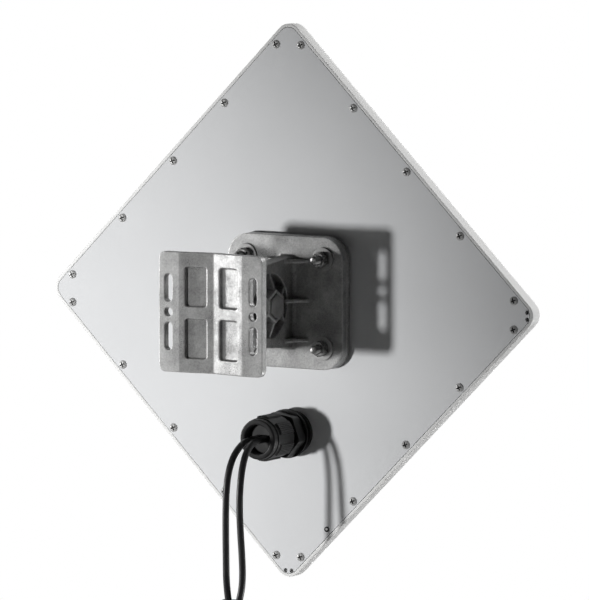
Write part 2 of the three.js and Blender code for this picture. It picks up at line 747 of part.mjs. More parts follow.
function mountStud() {
  const top = FLANGE_TOP + WASHER_THICKNESS + NUT_HEIGHT + STUD_END_LENGTH;
  const head = -BACK_PLATE_THICKNESS - SEAT_GAP;
  return turned(
    [
      [0, head - STUD_HEAD_HEIGHT],
      [STUD_HEAD_RADIUS, head - STUD_HEAD_HEIGHT],
      [STUD_HEAD_RADIUS, head],
      [STUD_RADIUS, head],
      [STUD_RADIUS, top - 1],
      [STUD_RADIUS - 1, top],
      [0, top],
    ],
    16,
  );
}

function nut(acrossFlats, boreRadius, low, high) {
  const blank = hexBar(acrossFlats, low, high).intersect(
    bar((acrossFlats / 2) * 1.12, low, high, 18),
  );
  return cut(blank, bar(boreRadius + FIT_GAP, low - 1, high + 1, 12));
}

const washerLow = FLANGE_TOP + SEAT_GAP;
const washerTop = washerLow + WASHER_THICKNESS;
const mountStudSolid = mountStud();
const mountWasherSolid = ring(STUD_RADIUS + FIT_GAP, WASHER_RADIUS, washerLow, washerTop, 20);
const mountNutSolid = nut(
  NUT_ACROSS_FLATS, STUD_RADIUS, washerTop + SEAT_GAP, washerTop + SEAT_GAP + NUT_HEIGHT);
corners(STUD_OFFSET).forEach(([x, z], index) => {
  addPiece(rear, `mount_stud_${index + 1}`, mountStudSolid, BRIGHT_STEEL, [x, 0, z]);
  addPiece(rear, `mount_washer_${index + 1}`, mountWasherSolid, BRIGHT_STEEL, [x, 0, z]);
  addPiece(rear, `mount_nut_${index + 1}`, mountNutSolid, BRIGHT_STEEL, [x, 0, z]);
});

// Pole bracket and pivot

/** The vee's height at a distance from its middle. */
function veeFloorAt(x) {
  return -VEE_DEPTH * (1 - Math.abs(x) / VEE_HALF_WIDTH);
}

/** The pole plate's section: two flanges with a vee between them, and a back that follows both. */
function poleSection() {
  const half = POLE_PLATE_SIDE / 2;
  return polygon([
    [-half, 0],
    [-VEE_HALF_WIDTH, 0],
    [0, -VEE_DEPTH],
    [VEE_HALF_WIDTH, 0],
    [half, 0],
    [half, -POLE_PLATE_THICKNESS],
    [VEE_HALF_WIDTH, -POLE_PLATE_THICKNESS],
    [0, -VEE_DEPTH - POLE_PLATE_THICKNESS],
    [-VEE_HALF_WIDTH, -POLE_PLATE_THICKNESS],
    [-half, -POLE_PLATE_THICKNESS],
  ]);
}

function polePockets() {
  const shape = roundedRectangle(POCKET_WIDTH, POCKET_HEIGHT, POCKET_CORNER_RADIUS);
  const middleZ = (POCKET_HEIGHT + POCKET_BRIDGE) / 2;
  const pocket = slab(shape, -POCKET_DEPTH, THROUGH, 2);
  return [-1, 1].flatMap((side) =>
    [-1, 1].map((row) => {
      const turn = THREE.MathUtils.radToDeg(side * VEE_SLOPE);
      return pocket
        .rotate([0, 0, turn])
        .translate([side * POCKET_CENTRE_X, veeFloorAt(POCKET_CENTRE_X), row * middleZ]);
    }),
  );
}

function poleSlots() {
  const column = POLE_PLATE_SIDE / 2 - SLOT_COLUMN_INSET;
  const slot = slab(roundedRectangle(SLOT_WIDTH, SLOT_LENGTH, SLOT_WIDTH / 2), -THROUGH, 1, 4);
  const hole = bar(BAND_HOLE_RADIUS, -POLE_PLATE_THICKNESS - 1, 1, 16);
  return [-column, column].flatMap((x) => [
    slot.translate([x, 0, SLOT_CENTRE_Z]),
    slot.translate([x, 0, -SLOT_CENTRE_Z]),
    hole.translate([x, 0, 0]),
  ]);
}

/** The arm's outline in Y and Z, from the round hub to the back of the pole plate. */
function armOutline() {
  const pivotY = PANEL_FACE_Y + PIVOT_REACH;
  const root = -POLE_PLATE_THICKNESS - VEE_DEPTH / 2;
  const half = ARM_ROOT_HEIGHT / 2;
  const shape = new THREE.Shape();
  shape.moveTo(root, half);
  shape.lineTo(root - ARM_SHOULDER, half);
  shape.lineTo(pivotY, ARM_RADIUS);
  shape.absarc(pivotY, 0, ARM_RADIUS, Math.PI / 2, 1.5 * Math.PI, false);
  shape.lineTo(root - ARM_SHOULDER, -half);
  shape.lineTo(root, -half);
  return shape;
}

function poleBracket() {
  const half = POLE_PLATE_SIDE / 2;
  const outline = roundedRectangle(POLE_PLATE_SIDE, POLE_PLATE_SIDE, POLE_PLATE_CORNER_RADIUS);
  const plate = upright(poleSection(), -half, half).intersect(slab(outline, -half, half));
  const arm = crossSlab(armOutline(), ARM_INNER_X, ARM_OUTER_X);
  const backAt = (x) => veeFloorAt(x) - POLE_PLATE_THICKNESS;
  const fins = [-1, 0, 1].flatMap((step) =>
    [ARM_INNER_X, ARM_OUTER_X].map((rootX, index) => {
      const way = index === 0 ? -1 : 1;
      const tipX = rootX + way * ARM_GUSSET_RUN;
      const shape = polygon([
        [rootX - way, backAt(rootX) + 2],
        [tipX, backAt(tipX) + 2],
        [tipX, backAt(tipX) - 2],
        [rootX, backAt(rootX) - ARM_GUSSET_RISE],
        [rootX - way, backAt(rootX) - ARM_GUSSET_RISE],
      ]);
      const z = step * ARM_GUSSET_PITCH;
      return upright(shape, z - GUSSET_THICKNESS / 2, z + GUSSET_THICKNESS / 2);
    }),
  );
  const bore = pivotBar(BOLT_RADIUS + FIT_GAP, ARM_INNER_X - 1, ARM_OUTER_X + 1, 20)
    .translate([0, PANEL_FACE_Y, 0]);
  return cut(join(cut(plate, ...polePockets()), arm, ...fins), ...poleSlots(), bore);
}

addPiece(bridge, "pole_bracket", poleBracket(), CAST_ALUMINIUM);

const pivotWasherX = ARM_OUTER_X + SEAT_GAP;
const pivotNutX = pivotWasherX + PIVOT_WASHER_THICKNESS + SEAT_GAP;
const boltEndX = pivotNutX + PIVOT_NUT_HEIGHT + BOLT_END_LENGTH;
const pivotBolt = join(
  pivotHex(BOLT_ACROSS_FLATS, BOLT_SEAT_X - SEAT_GAP - BOLT_HEAD_HEIGHT, BOLT_SEAT_X - SEAT_GAP),
  pivotBar(BOLT_RADIUS, BOLT_SEAT_X - 1, boltEndX, 20),
);
addPiece(rear, "pivot_bolt", pivotBolt, BRIGHT_STEEL);
const pivotWasher = ring(
  BOLT_RADIUS + FIT_GAP, PIVOT_WASHER_RADIUS, pivotWasherX, pivotWasherX + PIVOT_WASHER_THICKNESS, 28)
  .rotate([0, 0, -90])
  .translate([0, PIVOT_REACH, 0]);
addPiece(rear, "pivot_washer", pivotWasher, BRIGHT_STEEL);
const pivotNut = nut(BOLT_ACROSS_FLATS, BOLT_RADIUS, pivotNutX, pivotNutX + PIVOT_NUT_HEIGHT)
  .rotate([0, 0, -90])
  .translate([0, PIVOT_REACH, 0]);
addPiece(rear, "pivot_nut", pivotNut, BRIGHT_STEEL);

// Cable gland, along Y in the rear frame below the bracket

const gland = new THREE.Group();
gland.position.set(GLAND_OFFSET_X, 0, -GLAND_DROP);
rear.add(gland);
const baseHexLow = SEAL_THICKNESS + SEAT_GAP;
const collarLow = baseHexLow + BASE_HEX_LENGTH;
const bodyHexLow = collarLow + COLLAR_DISC_LENGTH;
const neckLow = bodyHexLow + BODY_HEX_LENGTH;
const glandNutLow = neckLow + NECK_GAP_LENGTH;
const neckTop = glandNutLow + NUT_THREAD_LENGTH;
const glandNutTop = glandNutLow + GLAND_NUT_LENGTH;
const mouthTop = glandNutTop + GLAND_MOUTH_LENGTH;
const insertTop = mouthTop - INSERT_RECESS;
const glandInnerEnd = -BACK_PLATE_THICKNESS - LOCKNUT_HEIGHT - 2;

function glandBody() {
  const blank = join(
    bar(GLAND_THREAD_RADIUS, glandInnerEnd, baseHexLow + 1, 32),
    hexBar(BASE_HEX_ACROSS_FLATS, baseHexLow, collarLow, BASE_HEX_TURN),
    bar(COLLAR_DISC_RADIUS, collarLow - SEAT_GAP, bodyHexLow, GLAND_SIDES),
    hexBar(BODY_HEX_ACROSS_FLATS, bodyHexLow - SEAT_GAP, neckLow, BODY_HEX_TURN),
    bar(NECK_RADIUS, neckLow - SEAT_GAP, neckTop, 32),
  );
  return cut(blank, bar(GLAND_BORE_RADIUS, glandInnerEnd - 1, neckTop + 1, 24));
}

/** The gland nut: a drum with ribbed pads around it, a bore for the neck and a narrower mouth. */
function glandNut() {
  const boreRadius = NECK_RADIUS + FIT_GAP + 0.2;
  const shoulder = insertTop + FIT_GAP;
  const drum = turned(
    [
      [boreRadius, glandNutLow],
      [GLAND_NUT_RADIUS, glandNutLow],
      [GLAND_NUT_RADIUS, glandNutTop - 1],
      [GLAND_MOUTH_RADIUS, glandNutTop],
      [GLAND_MOUTH_RADIUS, mouthTop - 1.5],
      [GLAND_MOUTH_RADIUS - 1.5, mouthTop],
      [GLAND_MOUTH_BORE_RADIUS + 0.8, mouthTop],
      [GLAND_MOUTH_BORE_RADIUS, mouthTop - 0.8],
      [GLAND_MOUTH_BORE_RADIUS, shoulder],
      [boreRadius, shoulder],
      [boreRadius, glandNutLow],
    ],
    GLAND_SIDES,
  );
  const pads = [];
  const spread = (GLAND_PAD_SHARE * 2 * Math.PI) / GLAND_PAD_COUNT;
  for (let index = 0; index < GLAND_PAD_COUNT; index += 1) {
    for (let rib = 0; rib < GLAND_PAD_RIBS; rib += 1) {
      const width = (GLAND_RIB_SHARE * GLAND_NUT_RADIUS * spread) / GLAND_PAD_RIBS;
      const turn = (index * 2 * Math.PI) / GLAND_PAD_COUNT + (rib / (GLAND_PAD_RIBS - 1) - 0.5) * spread;
      const pad = block(
        [-width / 2, glandNutLow + 1, GLAND_NUT_RADIUS - 1.5],
        [width / 2, glandNutTop - 3, GLAND_NUT_RADIUS + GLAND_PAD_HEIGHT],
      );
      pads.push(pad.rotate([0, THREE.MathUtils.radToDeg(turn), 0]));
    }
  }
  return join(drum, ...pads);
}

function glandInsert() {
  const radius = GLAND_BORE_RADIUS - FIT_GAP;
  const low = insertTop - INSERT_LENGTH;
  const holes = Object.values(CABLE_ROUTES).map(([[x, , z]]) =>
    bar(CABLE_RADIUS + FIT_GAP, low - 1, insertTop + 1, 14)
      .translate([x - GLAND_OFFSET_X, 0, z + GLAND_DROP]),
  );
  return cut(bar(radius, low, insertTop, 32), ...holes);
}

addPiece(gland, "gland_seal_ring", ring(GLAND_THREAD_RADIUS + FIT_GAP, SEAL_RADIUS, SEAT_GAP,
  SEAL_THICKNESS, 32), BLACK_RUBBER);
addPiece(gland, "gland_body", glandBody(), BLACK_NYLON);
const locknut = cut(
  hexBar(LOCKNUT_ACROSS_FLATS, -BACK_PLATE_THICKNESS - SEAT_GAP - LOCKNUT_HEIGHT,
    -BACK_PLATE_THICKNESS - SEAT_GAP),
  bar(GLAND_THREAD_RADIUS + FIT_GAP, -THROUGH, 0, 32),
);
addPiece(gland, "gland_locknut", locknut, BLACK_NYLON);
addPiece(gland, "gland_insert", glandInsert(), GREY_RUBBER);
const clampRing = ring(GLAND_BORE_RADIUS + FIT_GAP, NECK_RADIUS, neckTop + FIT_GAP,
  neckTop + FIT_GAP + CLAMP_RING_LENGTH, 32);
addPiece(gland, "gland_clamp_ring", clampRing, BLACK_NYLON);
addPiece(gland, "gland_nut", glandNut(), BLACK_NYLON);

// Cables: a tube to each coil, the coil's outer shape, and a plug hanging from it

const coilOuter = COIL_MEAN_RADIUS + CABLE_RADIUS;
const coilInner = COIL_MEAN_RADIUS - CABLE_RADIUS;
const coilWidth = COIL_TURNS * COIL_PITCH + 2 * CABLE_RADIUS;
const plugTop = Math.sqrt(coilOuter ** 2 - (COIL_MEAN_RADIUS - BOOT_RADIUS) ** 2) + FIT_GAP;

function cableTube(route) {
  const path = new THREE.CatmullRomCurve3(route.map((point) => new THREE.Vector3(...point)));
  const section = new THREE.Shape();
  section.absarc(0, 0, CABLE_RADIUS, 0, 2 * Math.PI);
  return solidOf(
    new THREE.ExtrudeGeometry(section, {
      steps: CABLE_STEPS,
      curveSegments: CABLE_SIDES / 2,
      bevelEnabled: false,
      extrudePath: path,
    }),
  );
}

function cablePlug() {
  const boot = turned(
    [
      [0, 0],
      [BOOT_RADIUS * 0.8, 0],
      [BOOT_RADIUS, 3],
      [BOOT_RADIUS, BOOT_LENGTH + 1],
      [0, BOOT_LENGTH + 1],
    ],
    14,
  );
  const housing = block(
    [-PLUG_WIDTH / 2, BOOT_LENGTH, -PLUG_DEPTH / 2],
    [PLUG_WIDTH / 2, BOOT_LENGTH + PLUG_LENGTH, PLUG_DEPTH / 2],
  );
  return join(boot, housing).rotate([-90, 0, 0]);
}

Object.entries(CABLE_ROUTES).forEach(([key, route]) => {
  const [strandX, strandY] = route[route.length - 1];
  const way = key === "a" ? 1 : -1;
  const coilX = strandX + (way * (coilWidth - 2 * CABLE_RADIUS)) / 2;
  const centreY = strandY - COIL_MEAN_RADIUS;
  addPiece(bridge, `cable_${key}`, cableTube(route), BLACK_RUBBER);
  const coil = ring(coilInner, coilOuter, -coilWidth / 2, coilWidth / 2, COIL_SIDES).rotate([0, 0, 90]);
  addPiece(bridge, `coil_${key}`, coil, BLACK_RUBBER, [coilX, centreY, COIL_CENTRE_Z]);
  const plugX = strandX + way * (coilWidth - 2 * CABLE_RADIUS);
  addPiece(bridge, `plug_${key}`, cablePlug(), CLEAR_PLASTIC, [plugX, strandY, COIL_CENTRE_Z - plugTop]);
});

function cableTie() {
  const lastPoint = (key) => CABLE_ROUTES[key][CABLE_ROUTES[key].length - 1];
  const low = lastPoint("b")[0] - coilWidth + CABLE_RADIUS - FIT_GAP;
  const high = lastPoint("a")[0] + coilWidth - CABLE_RADIUS + FIT_GAP;
  const centreY = lastPoint("a")[1] - COIL_MEAN_RADIUS;
  const top = COIL_CENTRE_Z - coilInner + 2 * FIT_GAP;
  const bottom = COIL_CENTRE_Z - coilOuter - FIT_GAP;
  const [y0, y1] = [centreY - TIE_WIDTH / 2, centreY + TIE_WIDTH / 2];
  const loop = cut(
    block([low - TIE_THICKNESS, y0, bottom - TIE_THICKNESS], [high + TIE_THICKNESS, y1, top + TIE_THICKNESS]),
    block([low, y0 - 1, bottom], [high, y1 + 1, top]),
  );
  const head = block(
    [low - TIE_THICKNESS - TIE_HEAD / 2, y0 - 1, bottom],
    [low - TIE_THICKNESS + 0.5, y1 + 1, bottom + TIE_HEAD],
  );
  return join(loop, head);
}

addPiece(bridge, "cable_tie", cableTie(), BLACK_NYLON);

export default bridge;
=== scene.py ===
"""Looks of an outdoor wireless bridge: a square panel on a tilting cast bracket, with a cable gland.

Everything is in metres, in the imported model's own frame: +Z up, +Y from the panel towards the pole.
"""

import logging
import math
from dataclasses import dataclass, field
from enum import Enum
from typing import Callable, Optional, Sequence, Union

import bmesh
import bpy
import numpy as np
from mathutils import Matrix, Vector


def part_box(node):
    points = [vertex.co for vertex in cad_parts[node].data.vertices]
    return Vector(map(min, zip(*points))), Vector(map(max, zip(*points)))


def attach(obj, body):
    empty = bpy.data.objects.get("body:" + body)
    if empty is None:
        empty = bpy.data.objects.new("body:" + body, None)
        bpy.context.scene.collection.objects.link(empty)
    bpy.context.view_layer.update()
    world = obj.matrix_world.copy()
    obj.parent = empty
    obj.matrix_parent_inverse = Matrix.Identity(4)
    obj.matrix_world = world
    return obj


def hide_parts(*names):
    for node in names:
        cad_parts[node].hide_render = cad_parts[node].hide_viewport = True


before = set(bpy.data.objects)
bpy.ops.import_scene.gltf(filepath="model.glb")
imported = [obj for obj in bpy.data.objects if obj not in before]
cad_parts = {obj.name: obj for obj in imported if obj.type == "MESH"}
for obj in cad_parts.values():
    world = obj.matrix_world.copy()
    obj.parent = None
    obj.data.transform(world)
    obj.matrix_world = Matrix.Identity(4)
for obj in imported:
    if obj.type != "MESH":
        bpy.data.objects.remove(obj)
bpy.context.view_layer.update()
LOG = logging.getLogger("bridge")
MM = 0.001
TURN = 2.0 * math.pi
# How much of a box ring's inset its corner radius loses, and how often a bulge is spread.
CORNER_SHRINK = 0.6
BULGE_PASSES = 3

Point = Sequence[float]
Array = np.ndarray
Socket = bpy.types.NodeSocket
Material = bpy.types.Material
Object = bpy.types.Object
SocketValue = Union[Socket, float, Sequence[float]]


class Body(Enum):
    """The bodies that pieces ride on."""

    POLE = "pole_bracket"
    PANEL = "panel"
    GLAND_NUT = "gland_nut"


class Slot(Enum):
    """The record's material slots."""

    RADOME = "radome_white"
    BACK_PLATE = "back_plate_aluminium"
    CASTING = "cast_aluminium"
    FASTENER = "fastener_steel"
    NYLON = "gland_nylon"
    RUBBER = "black_rubber"
    INSERT = "insert_rubber"
    JACKET = "cable_jacket"
    PLUG = "plug_plastic"
    TINPLATE = "tinplate"


# ---------------------------------------------------------------- meshes


def make_object(name: str, vertices: Array, faces: Array, sharp: float = 40.0) -> Object:
    """Makes a mesh object at the origin from arrays, welded and facing outwards.

    Args:
        name: the piece's name.
        vertices: points, one row each, in metres.
        faces: quads, one row of four vertex numbers each.
        sharp: the angle in degrees past which an edge is shaded sharp.

    Returns:
        The new object, linked to the scene.
    """
    mesh = bpy.data.meshes.new(name)
    mesh.from_pydata(vertices.reshape(-1, 3).tolist(), [], faces.tolist())
    welded = bmesh.new()
    welded.from_mesh(mesh)
    bmesh.ops.remove_doubles(welded, verts=welded.verts, dist=1e-7)
    bmesh.ops.dissolve_degenerate(welded, edges=welded.edges, dist=1e-8)
    bmesh.ops.recalc_face_normals(welded, faces=welded.faces)
    welded.to_mesh(mesh)
    welded.free()
    return link_mesh(name, mesh, sharp)


def link_mesh(name: str, mesh: bpy.types.Mesh, sharp: float) -> Object:
    """Links a mesh as an object at the origin, shaded smooth up to an angle.

    Args:
        name: the piece's name.
        mesh: its mesh.
        sharp: the angle in degrees past which an edge is shaded sharp.

    Returns:
        The new object.
    """
    piece = bpy.data.objects.new(name, mesh)
    bpy.context.scene.collection.objects.link(piece)
    mesh.polygons.foreach_set("use_smooth", np.ones(len(mesh.polygons), bool))
    mesh.set_sharp_from_angle(angle=math.radians(sharp))
    return piece


def grid_faces(rows: int, columns: int, closed_rows: bool, closed_columns: bool) -> Array:
    """Quads between the neighbouring points of a grid of rows by columns.

    Args:
        rows: number of rows of points.
        columns: number of points in each row.
        closed_rows: whether the last row joins the first.
        closed_columns: whether each row's last point joins its first.

    Returns:
        One row of four vertex numbers for each quad.
    """
    row = np.arange(rows if closed_rows else rows - 1)[:, None]
    column = np.arange(columns if closed_columns else columns - 1)[None, :]
    next_row = (row + 1) % rows
    next_column = (column + 1) % columns
    quads = np.stack(
        [
            row * columns + column,
            row * columns + next_column,
            next_row * columns + next_column,
            next_row * columns + column,
        ],
        axis=-1,
    )
    return quads.reshape(-1, 4)


def softened(points: Sequence[Point], radius: float, steps: int = 3, closed: bool = False) -> Array:
    """A polyline whose corners are rounded.

    Each corner P between A and B becomes the curve (1-t)^2 P1 + 2t(1-t) P + t^2 P2, where P1 and P2 lie
    on PA and PB, a radius away from P or just under half the shorter edge.

    Args:
        points: the polyline.
        radius: how far from a corner the rounding starts.
        steps: number of pieces in each rounding.
        closed: whether the polyline joins its own start.

    Returns:
        The rounded polyline.
    """
    line = np.asarray(points, float)
    before = np.roll(line, 1, axis=0) - line
    after = np.roll(line, -1, axis=0) - line
    length_before = np.linalg.norm(before, axis=1, keepdims=True)
    length_after = np.linalg.norm(after, axis=1, keepdims=True)
    reach = np.minimum(radius, 0.45 * np.minimum(length_before, length_after))
    start = line + before / np.maximum(length_before, 1e-12) * reach
    end = line + after / np.maximum(length_after, 1e-12) * reach
    t = np.linspace(0.0, 1.0, steps + 1)[None, :, None]
    curve = (1 - t) ** 2 * start[:, None] + 2 * t * (1 - t) * line[:, None] + t**2 * end[:, None]
    if closed:
        return curve.reshape(-1, line.shape[1])
    return np.concatenate([line[:1], curve[1:-1].reshape(-1, line.shape[1]), line[-1:]])


# A radius rule takes arrays of radius, height and angle, and returns the radius.
RadiusRule = Callable[[Array, Array, Array], Array]


def turned(
    name: str,
    profile: Array,
    centre: Point,
    axis: str = "Y",
    sides: int = 72,
    rule: Optional[RadiusRule] = None,
    sharp: float = 40.0,
    closed: bool = False,
) -> Object:
    """A surface of revolution, whose radius a rule may change over the angle.

    The point of row (r, h) at angle a is the centre plus R cos a and R sin a across the axis and h along
    it, where R is r or what the rule makes of r, h and a.

    Args:
        name: the piece's name.
        profile: rows of radius and height, in metres.
        centre: the point that heights and angles start from.
        axis: "X", "Y" or "Z", the axis of the turn.
        sides: number of points around.
        rule: takes arrays of radius, height and angle, and returns the radius.
        sharp: the angle in degrees past which an edge is shaded sharp.
        closed: whether the profile joins its own start.

    Returns:
        The new object.
    """
    radius = profile[:, 0][:, None]
    height = profile[:, 1][:, None] + np.zeros((1, sides))
    angle = np.linspace(0.0, TURN, sides, endpoint=False)[None, :] + np.zeros_like(height)
    reach = radius + np.zeros_like(height)
    if rule is not None:
        reach = rule(reach, height, angle)
    across = np.stack([reach * np.cos(angle), reach * np.sin(angle)], axis=-1)
    order = {"X": (1, 2, 0), "Y": (2, 0, 1), "Z": (0, 1, 2)}[axis]
    points = np.zeros(height.shape + (3,))
    for value, place in zip((across[..., 0], across[..., 1], height), order):
        points[..., place] = value
    points += np.asarray(centre, float)
    faces = grid_faces(len(profile), sides, closed, True)
    return make_object(name, points, faces, sharp)


def hexagon(across_flats: float, angle: Array, turn: float = 0.0) -> Array:
    """The radius of a hexagon at each angle: half its width over the cosine of the angle from a flat.

    Args:
        across_flats: the hexagon's width across its flats.
        angle: angles in radians.
        turn: how far the hexagon is turned.

    Returns:
        A radius for each angle.
    """
    step = TURN / 6.0
    from_flat = (angle - turn + step / 2.0) % step - step / 2.0
    return across_flats / 2.0 / np.cos(from_flat)


def chamfered(
    across_flats: float,
    angle: Array,
    left: Array,
    turn: float = 0.0,
    corner_share: float = 1.13,
    drop: float = 0.9 * MM,
    slope: float = 1.6,
) -> Array:
    """The radius of a hexagon whose corners are turned off by a cylinder, and by a cone at its ends.

    It is the smallest of the hexagon's radius, the cylinder's and the cone's. The cone's is the cylinder's
    less the drop at an end face, and grows by the slope times the height left to that face.

    Args:
        across_flats: the hexagon's width across its flats.
        angle: angles in radians.
        left: heights left to the nearest chamfered end.
        turn: how far the hexagon is turned.
        corner_share: the cylinder's radius over half the width.
        drop: how far inside the cylinder the cone starts.
        slope: how fast the cone opens.

    Returns:
        A radius for each angle.
    """
    corner = across_flats / 2 * corner_share
    cone = corner - drop + left * slope
    return np.minimum(np.minimum(hexagon(across_flats, angle, turn), corner), cone)


def at_radius(radius: float, heights: Array) -> Array:
    """Profile rows of one radius, one for each height."""
    return np.stack([np.full(len(heights), radius), heights], axis=-1)


def ring_profile(
    bore: float, outer: float, low: float, high: float, rounding: float, steps: int = 3
) -> Array:
    """The closed profile of a flat ring with rounded edges.

    Args:
        bore: the inner radius.
        outer: the outer radius.
        low: the height of one face.
        high: the height of the other face.
        rounding: how far from an edge its rounding starts.
        steps: number of pieces in each rounding.

    Returns:
        Rows of radius and height.
    """
    return softened([(bore, low), (outer, low), (outer, high), (bore, high)], rounding, steps, closed=True)


def box_middle(node: str) -> list[float]:
    """The middle of a CAD node's box."""
    low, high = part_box(node)
    return [(a + b) / 2 for a, b in zip(low, high)]


def tangent_frames(path: Array) -> tuple[Array, Array]:
    """Two unit vectors across a path at each point, which turn as little as they can along it.

    Args:
        path: the path's points.

    Returns:
        The first and the second vector at each point.
    """
    tangent = np.gradient(path, axis=0)
    tangent /= np.linalg.norm(tangent, axis=1, keepdims=True)
    first = np.zeros_like(path)
    guess = np.array([1.0, 0.0, 0.0]) if abs(tangent[0, 0]) < 0.9 else np.array([0.0, 0.0, 1.0])
    for index, direction in enumerate(tangent):
        guess = guess - direction * guess.dot(direction)
        guess = guess / np.linalg.norm(guess)
        first[index] = guess
    return first, np.cross(tangent, first)


def swept(name: str, path: Array, section: Array) -> Object:
    """A section carried along an open path, with flat ends.

    The point of section (a, b) at a path point P is P + a F + b S, with F and S the two vectors across
    the path there. Past each end, one more ring has all its points on the path's own end.

    Args:
        name: the piece's name.
        path: the path's points, in metres.
        section: the closed section's points, as pairs.

    Returns:
        The new object.
    """
    first, second = tangent_frames(path)
    rings = (
        path[:, None]
        + section[None, :, 0, None] * first[:, None]
        + section[None, :, 1, None] * second[:, None]
    )
    start = np.repeat(path[:1, None], len(section), axis=1)
    end = np.repeat(path[-1:, None], len(section), axis=1)
    rings = np.concatenate([start, rings, end])
    return make_object(name, rings, grid_faces(len(rings), len(section), False, True))


def circle(radius: float, sides: int) -> Array:
    """A circle of points about the origin.

    Args:
        radius: its radius.
        sides: number of points.

    Returns:
        The points, as pairs.
    """
    angle = np.linspace(0.0, TURN, sides, endpoint=False)
    return radius * np.stack([np.cos(angle), np.sin(angle)], axis=-1)


def smooth_path(points: Sequence[Point], spacing: float) -> Array:
    """A smooth curve through given points: a centripetal Catmull-Rom spline.

    Each span is the spline whose knots are the square roots of the distances between the points.

    Args:
        points: the points that the curve passes through.
        spacing: about how far apart the curve's own points are.

    Returns:
        The curve's points.
    """
    line = np.asarray(points, float)
    line = np.concatenate([2 * line[:1] - line[1:2], line, 2 * line[-1:] - line[-2:-1]])
    pieces = []
    for a, b, c, d in zip(line[:-3], line[1:-2], line[2:-1], line[3:]):
        knots = np.cumsum([0.0] + [math.sqrt(np.linalg.norm(q - p)) for p, q in ((a, b), (b, c), (c, d))])
        count = max(2, round(np.linalg.norm(c - b) / spacing))
        t = np.linspace(knots[1], knots[2], count, endpoint=False)[:, None]

        def blend(p: Array, q: Array, low: float, high: float) -> Array:
            """Between p and q as t goes from low to high."""
            return ((high - t) * p + (t - low) * q) / (high - low)

        ab, bc, cd = blend(a, b, *knots[0:2]), blend(b, c, *knots[1:3]), blend(c, d, *knots[2:4])
        abc, bcd = blend(ab, bc, knots[0], knots[2]), blend(bc, cd, knots[1], knots[3])
        pieces.append(blend(abc, bcd, knots[1], knots[2]))
    pieces.append(line[-2:-1])
    return np.concatenate(pieces)


def rounded_rectangle(width: float, height: float, radius: float, steps: int) -> Array:
    """A rounded rectangle's points about the origin, with the same number for each size.

    Args:
        width: its width.
        height: its height.
        radius: its corners' radius.
        steps: number of pieces in each corner.

    Returns:
        The points, as pairs, counter-clockwise.
    """
    quarter = np.linspace(0.0, math.pi / 2, steps + 1)
    parts = []
    for index, (sx, sy) in enumerate(((1, 1), (-1, 1), (-1, -1), (1, -1))):
        angle = quarter + index * math.pi / 2
        x = sx * (width / 2 - radius) + radius * np.cos(angle)
        y = sy * (height / 2 - radius) + radius * np.sin(angle)
        parts.append(np.stack([x, y], axis=-1))
    return np.concatenate(parts)


def rounded_box(name: str, low: Point, high: Point, radius: float, steps: int = 3) -> Object:
    """A box whose edges are rounded: rings of a rounded rectangle that shrink towards both ends.

    Over each end's quarter turn, a ring's inset is the radius times one less the sine and its distance
    from the end is the radius times one less the cosine, or the other way round.

    Args:
        name: the piece's name.
        low: the lowest corner.
        high: the highest corner.
        radius: the edges' radius.
        steps: number of pieces in each quarter turn.

    Returns:
        The new object.
    """
    low, high = np.asarray(low, float), np.asarray(high, float)
    middle, half = (low + high) / 2, (high - low) / 2
    quarter = np.linspace(0.0, math.pi / 2, steps + 1)
    closing, opening = radius * (1 - np.sin(quarter)), radius * (1 - np.cos(quarter))
    to_middle = [min(half[:2])]
    inset = np.concatenate([to_middle, closing, opening, to_middle])
    height = np.concatenate([[-half[2]], -half[2] + opening, half[2] - closing, [half[2]]])
    rings = []
    for shrink, z in zip(inset, height):
        x, y = half[0] - shrink, half[1] - shrink
        corner = max(min(radius - CORNER_SHRINK * shrink, x, y), 0.0)
        ring = rounded_rectangle(2 * x, 2 * y, corner, steps)
        rings.append(np.concatenate([ring, np.full((len(ring), 1), z)], axis=1))
    points = np.stack(rings) + middle
    return make_object(name, points, grid_faces(len(rings), points.shape[1], False, True))


def copied(name: str, node: str) -> Object:
    """A welded copy of a CAD node's mesh, as a new object.

    Args:
        name: the copy's name.
        node: the CAD node.

    Returns:
        The new object.
    """
    mesh = bpy.data.meshes.new(name)
    welded = bmesh.new()
    welded.from_mesh(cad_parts[node].data)
    bmesh.ops.remove_doubles(welded, verts=welded.verts, dist=2e-6)
    bmesh.ops.dissolve_limit(
        welded, angle_limit=math.radians(0.5), verts=welded.verts, edges=welded.edges
    )
    welded.to_mesh(mesh)
    welded.free()
    return link_mesh(name, mesh, 30.0)


def applied(piece: Object) -> Object:
    """Turns an object's modifiers into its mesh.

    Args:
        piece: the object.

    Returns:
        The same object, with no modifiers left.
    """
    graph = bpy.context.evaluated_depsgraph_get()
    mesh = bpy.data.meshes.new_from_object(piece.evaluated_get(graph))
    piece.modifiers.clear()
    old = piece.data
    piece.data = mesh
    bpy.data.meshes.remove(old)
    return piece


def edged(name: str, node: str, width: float, segments: int = 2) -> Object:
    """A copy of a CAD node whose edges are rounded.

    Args:
        name: the copy's name.
        node: the CAD node.
        width: how far each rounding reaches from its edge.
        segments: number of faces across each rounding.

    Returns:
        The new object.
    """
    piece = copied(name, node)
    bevel = piece.modifiers.new("edges", "BEVEL")
    bevel.width = width
    bevel.segments = segments
    bevel.limit_method = "ANGLE"
    bevel.angle_limit = math.radians(35.0)
    bevel.use_clamp_overlap = True
    weighted = piece.modifiers.new("flat faces stay flat", "WEIGHTED_NORMAL")
    weighted.weight = 100
    weighted.keep_sharp = False
    return applied(piece)


